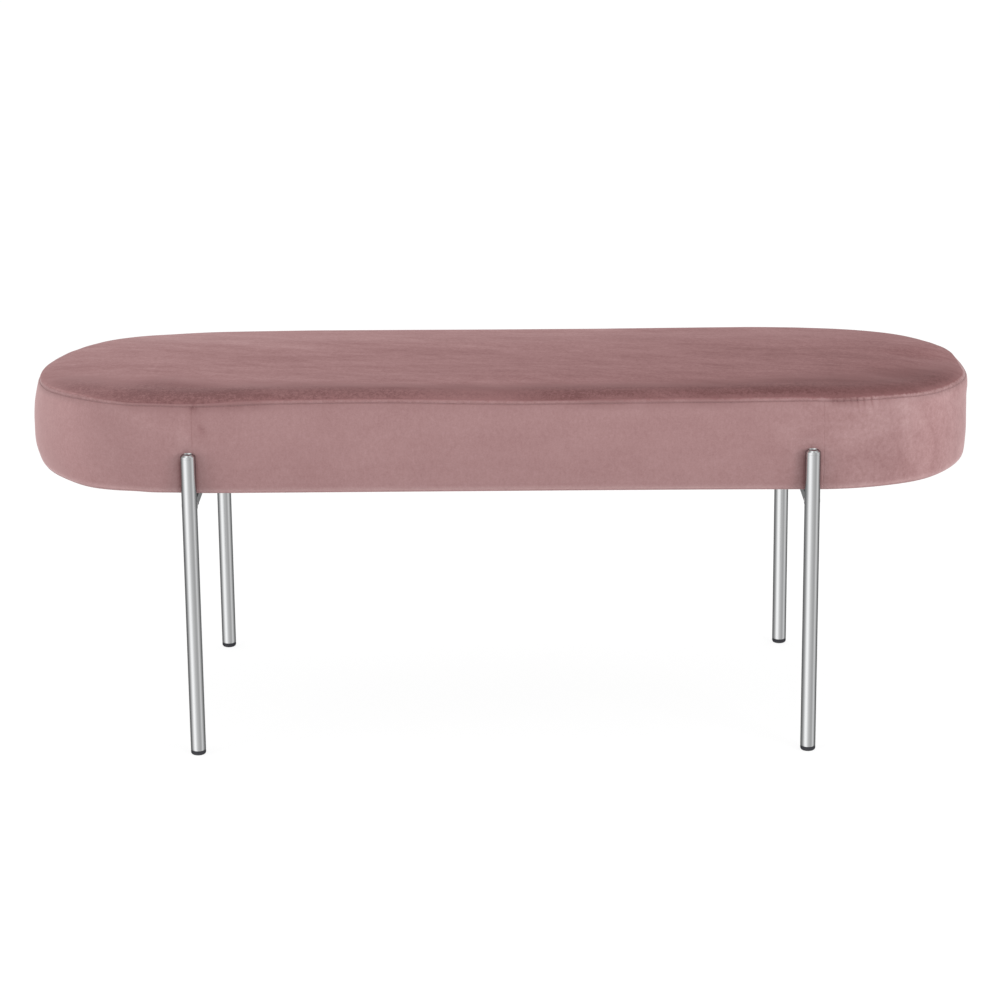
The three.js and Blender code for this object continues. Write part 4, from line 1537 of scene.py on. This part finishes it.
def make_finishes():
    """Every finish, by the start of the names of the pieces that take it."""
    pile = pile_group()
    brushing = brushing_group()
    zinc = zinc_material()
    plywood = plywood_material()
    steel = linear(245, 246, 247)
    upright = metal_material("steel_upright", brushing, steel, 0.08, (900, 900, 14), edge=0.45)
    return {
        "cover_top": velvet_material("velvet_top", pile, 0.15, 0.0),
        "cover_band": velvet_material("velvet_band", pile, 0.9, 0.2),
        "topstitching": thread_material(),
        "foam_core": foam_material(),
        "wadding_skirt": wadding_material(),
        "dust_cover_cloth": liner_material(),
        "dust_cover_staples": zinc,
        "leg_": upright,
        "foot_": rubber_material(),
        "cross_rail": metal_material("steel_across", brushing, steel, 0.1, (900, 14, 900)),
        "weld_": metal_material("steel_weld", brushing, linear(222, 222, 222), 0.3, (400, 400, 400), 0.2),
        "bolt_": zinc,
        "washer_": zinc,
        "tee_nut_": zinc,
        "base_board": plywood,
        "top_deck": plywood,
        "frame_r": plywood,
        "end_rim": plywood,
    }


def apply_finishes(finishes):
    """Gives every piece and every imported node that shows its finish."""
    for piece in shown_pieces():
        finish = next(finishes[start] for start in finishes if piece.name.startswith(start))
        if piece.data.materials:
            piece.data.materials[0] = finish
        else:
            piece.data.materials.append(finish)


# Floor, light and camera

FLOOR_GLOW = 0.885
FLOOR_TONE = (0.2, 0.2, 0.2, 1)
FLOOR_HALF = 30


def make_floor():
    """A pale floor that reads white, keeps a faint shadow of the bench and is clear from below."""
    bm = bmesh.new()
    bmesh.ops.create_grid(bm, x_segments=1, y_segments=1, size=FLOOR_HALF)
    floor = new_piece("floor", bm)
    floor.visible_glossy = False
    material = bpy.data.materials.new("floor_paper")
    material.use_nodes = True
    w = Wiring(material.node_tree)
    seen = w.add("ShaderNodeLightPath").outputs["Is Camera Ray"]
    below = w.add("ShaderNodeNewGeometry").outputs["Backfacing"]
    tone = w.blend(seen, (0.8, 0.8, 0.8, 1), FLOOR_TONE)
    paper = w.add("ShaderNodeBsdfDiffuse", Color=tone)
    glow = w.add("ShaderNodeEmission", Strength=w.times(seen, FLOOR_GLOW))
    clear = w.add("ShaderNodeBsdfTransparent")
    lit = w.add("ShaderNodeAddShader")
    w.feed(lit.inputs[0], paper.outputs[0])
    w.feed(lit.inputs[1], glow.outputs[0])
    shown = w.add("ShaderNodeMixShader")
    w.feed(shown.inputs[0], w.times(seen, below))
    w.feed(shown.inputs[1], lit.outputs[0])
    w.feed(shown.inputs[2], clear.outputs[0])
    w.add("ShaderNodeOutputMaterial", Surface=shown.outputs[0])
    floor.data.materials.append(material)


ROOM_LIGHT = 0.74
# What the steel reflects: (degrees round from the front, to the right more than zero; brightness)
ROOM_REFLECTION = (
    (-180, 0.18), (-124, 0.23), (-97, 0.27), (-76, 0.5), (-57, 0.86), (-40, 1.0), (-24.5, 0.87), (-9, 0.63),
    (6, 0.49), (21.5, 0.43), (37, 0.36), (54, 0.42), (72, 0.64), (92, 0.42), (118, 0.22), (142, 0.25),
    (180, 0.18),
)


def make_room():
    """The world: white to the camera, an even light on cloth and a soft studio for the steel to reflect."""
    world = bpy.data.worlds.new("studio")
    bpy.context.scene.world = world
    world.use_nodes = True
    w = Wiring(world.node_tree)
    direction = w.add("ShaderNodeSeparateXYZ", Vector=w.add("ShaderNodeTexCoord").outputs["Generated"])
    behind = w.times(direction.outputs["Y"], -1.0)
    round_room = w.calc("ARCTAN2", direction.outputs["X"], behind)
    share = w.calc("ADD", w.calc("DIVIDE", round_room, 2 * math.pi), 0.5)
    ramp = w.add("ShaderNodeValToRGB", Fac=share)
    elements = ramp.color_ramp.elements
    ramp.color_ramp.interpolation = "EASE"
    while len(elements) < len(ROOM_REFLECTION):
        elements.new(0.5)
    for element, (degrees, value) in zip(elements, ROOM_REFLECTION):
        element.position = degrees / 360 + 0.5
        element.color = (value, value, value, 1)
    path = w.add("ShaderNodeLightPath")
    glossy = w.blend(path.outputs["Is Glossy Ray"], (ROOM_LIGHT,) * 3 + (1,), ramp.outputs["Color"])
    white = w.calc("MAXIMUM", path.outputs["Is Camera Ray"], path.outputs["Is Transmission Ray"])
    seen = w.blend(white, glossy, (1, 1, 1, 1))
    background = w.add("ShaderNodeBackground", Color=seen, Strength=1.0)
    w.add("ShaderNodeOutputWorld", Surface=background.outputs[0])


def aim(place, target):
    """A matrix at a place whose -Z axis looks at a target."""
    look = (Vector(target) - Vector(place)).to_track_quat("-Z", "Y")
    return Matrix.Translation(place) @ look.to_matrix().to_4x4()


def make_lamp(name, place, size, power):
    lamp = bpy.data.lights.new(name, "AREA")
    lamp.shape = "RECTANGLE"
    lamp.size, lamp.size_y = size
    lamp.energy = power
    holder = bpy.data.objects.new(name, lamp)
    bpy.context.scene.collection.objects.link(holder)
    holder.matrix_world = aim(place, (0, 0, 0.4))
    holder.visible_glossy = False
    return holder


def make_lights():
    make_lamp("right_lamp", (3.0, -3.4, 1.5), (1.6, 1.6), 52)
    make_lamp("left_lamp", (-3.6, -2.6, 1.5), (2.6, 2.0), 34)


def make_camera():
    """The camera fitted to the photograph: level line, feet, legs, seam and outline."""
    pitch, yaw, roll = (math.radians(angle) for angle in (15.408, -0.376, -0.540))
    forward = Vector((math.sin(yaw) * math.cos(pitch), math.cos(yaw) * math.cos(pitch), -math.sin(pitch)))
    right = Vector((math.cos(yaw), -math.sin(yaw), 0))
    up = right.cross(forward)
    turned_right = right * math.cos(roll) + up * math.sin(roll)
    turned_up = up * math.cos(roll) - right * math.sin(roll)
    camera = bpy.data.objects.new("camera", bpy.data.cameras.new("camera"))
    bpy.context.scene.collection.objects.link(camera)
    camera.data.sensor_width = 36
    camera.data.lens = 111.225
    turn = Matrix((turned_right, turned_up, -forward)).transposed().to_4x4()
    camera.matrix_world = Matrix.Translation((0.023238, -3.880388, 1.337353)) @ turn
    bpy.context.scene.camera = camera


make_topstitching(make_cover())
make_foam()
make_wadding()
make_dust_cover()
make_staples()
make_legs()
make_rails()
make_fixings()
apply_finishes(make_finishes())
make_floor()
make_room()
make_lights()
make_camera()
bpy.context.scene.view_settings.view_transform = "Standard"
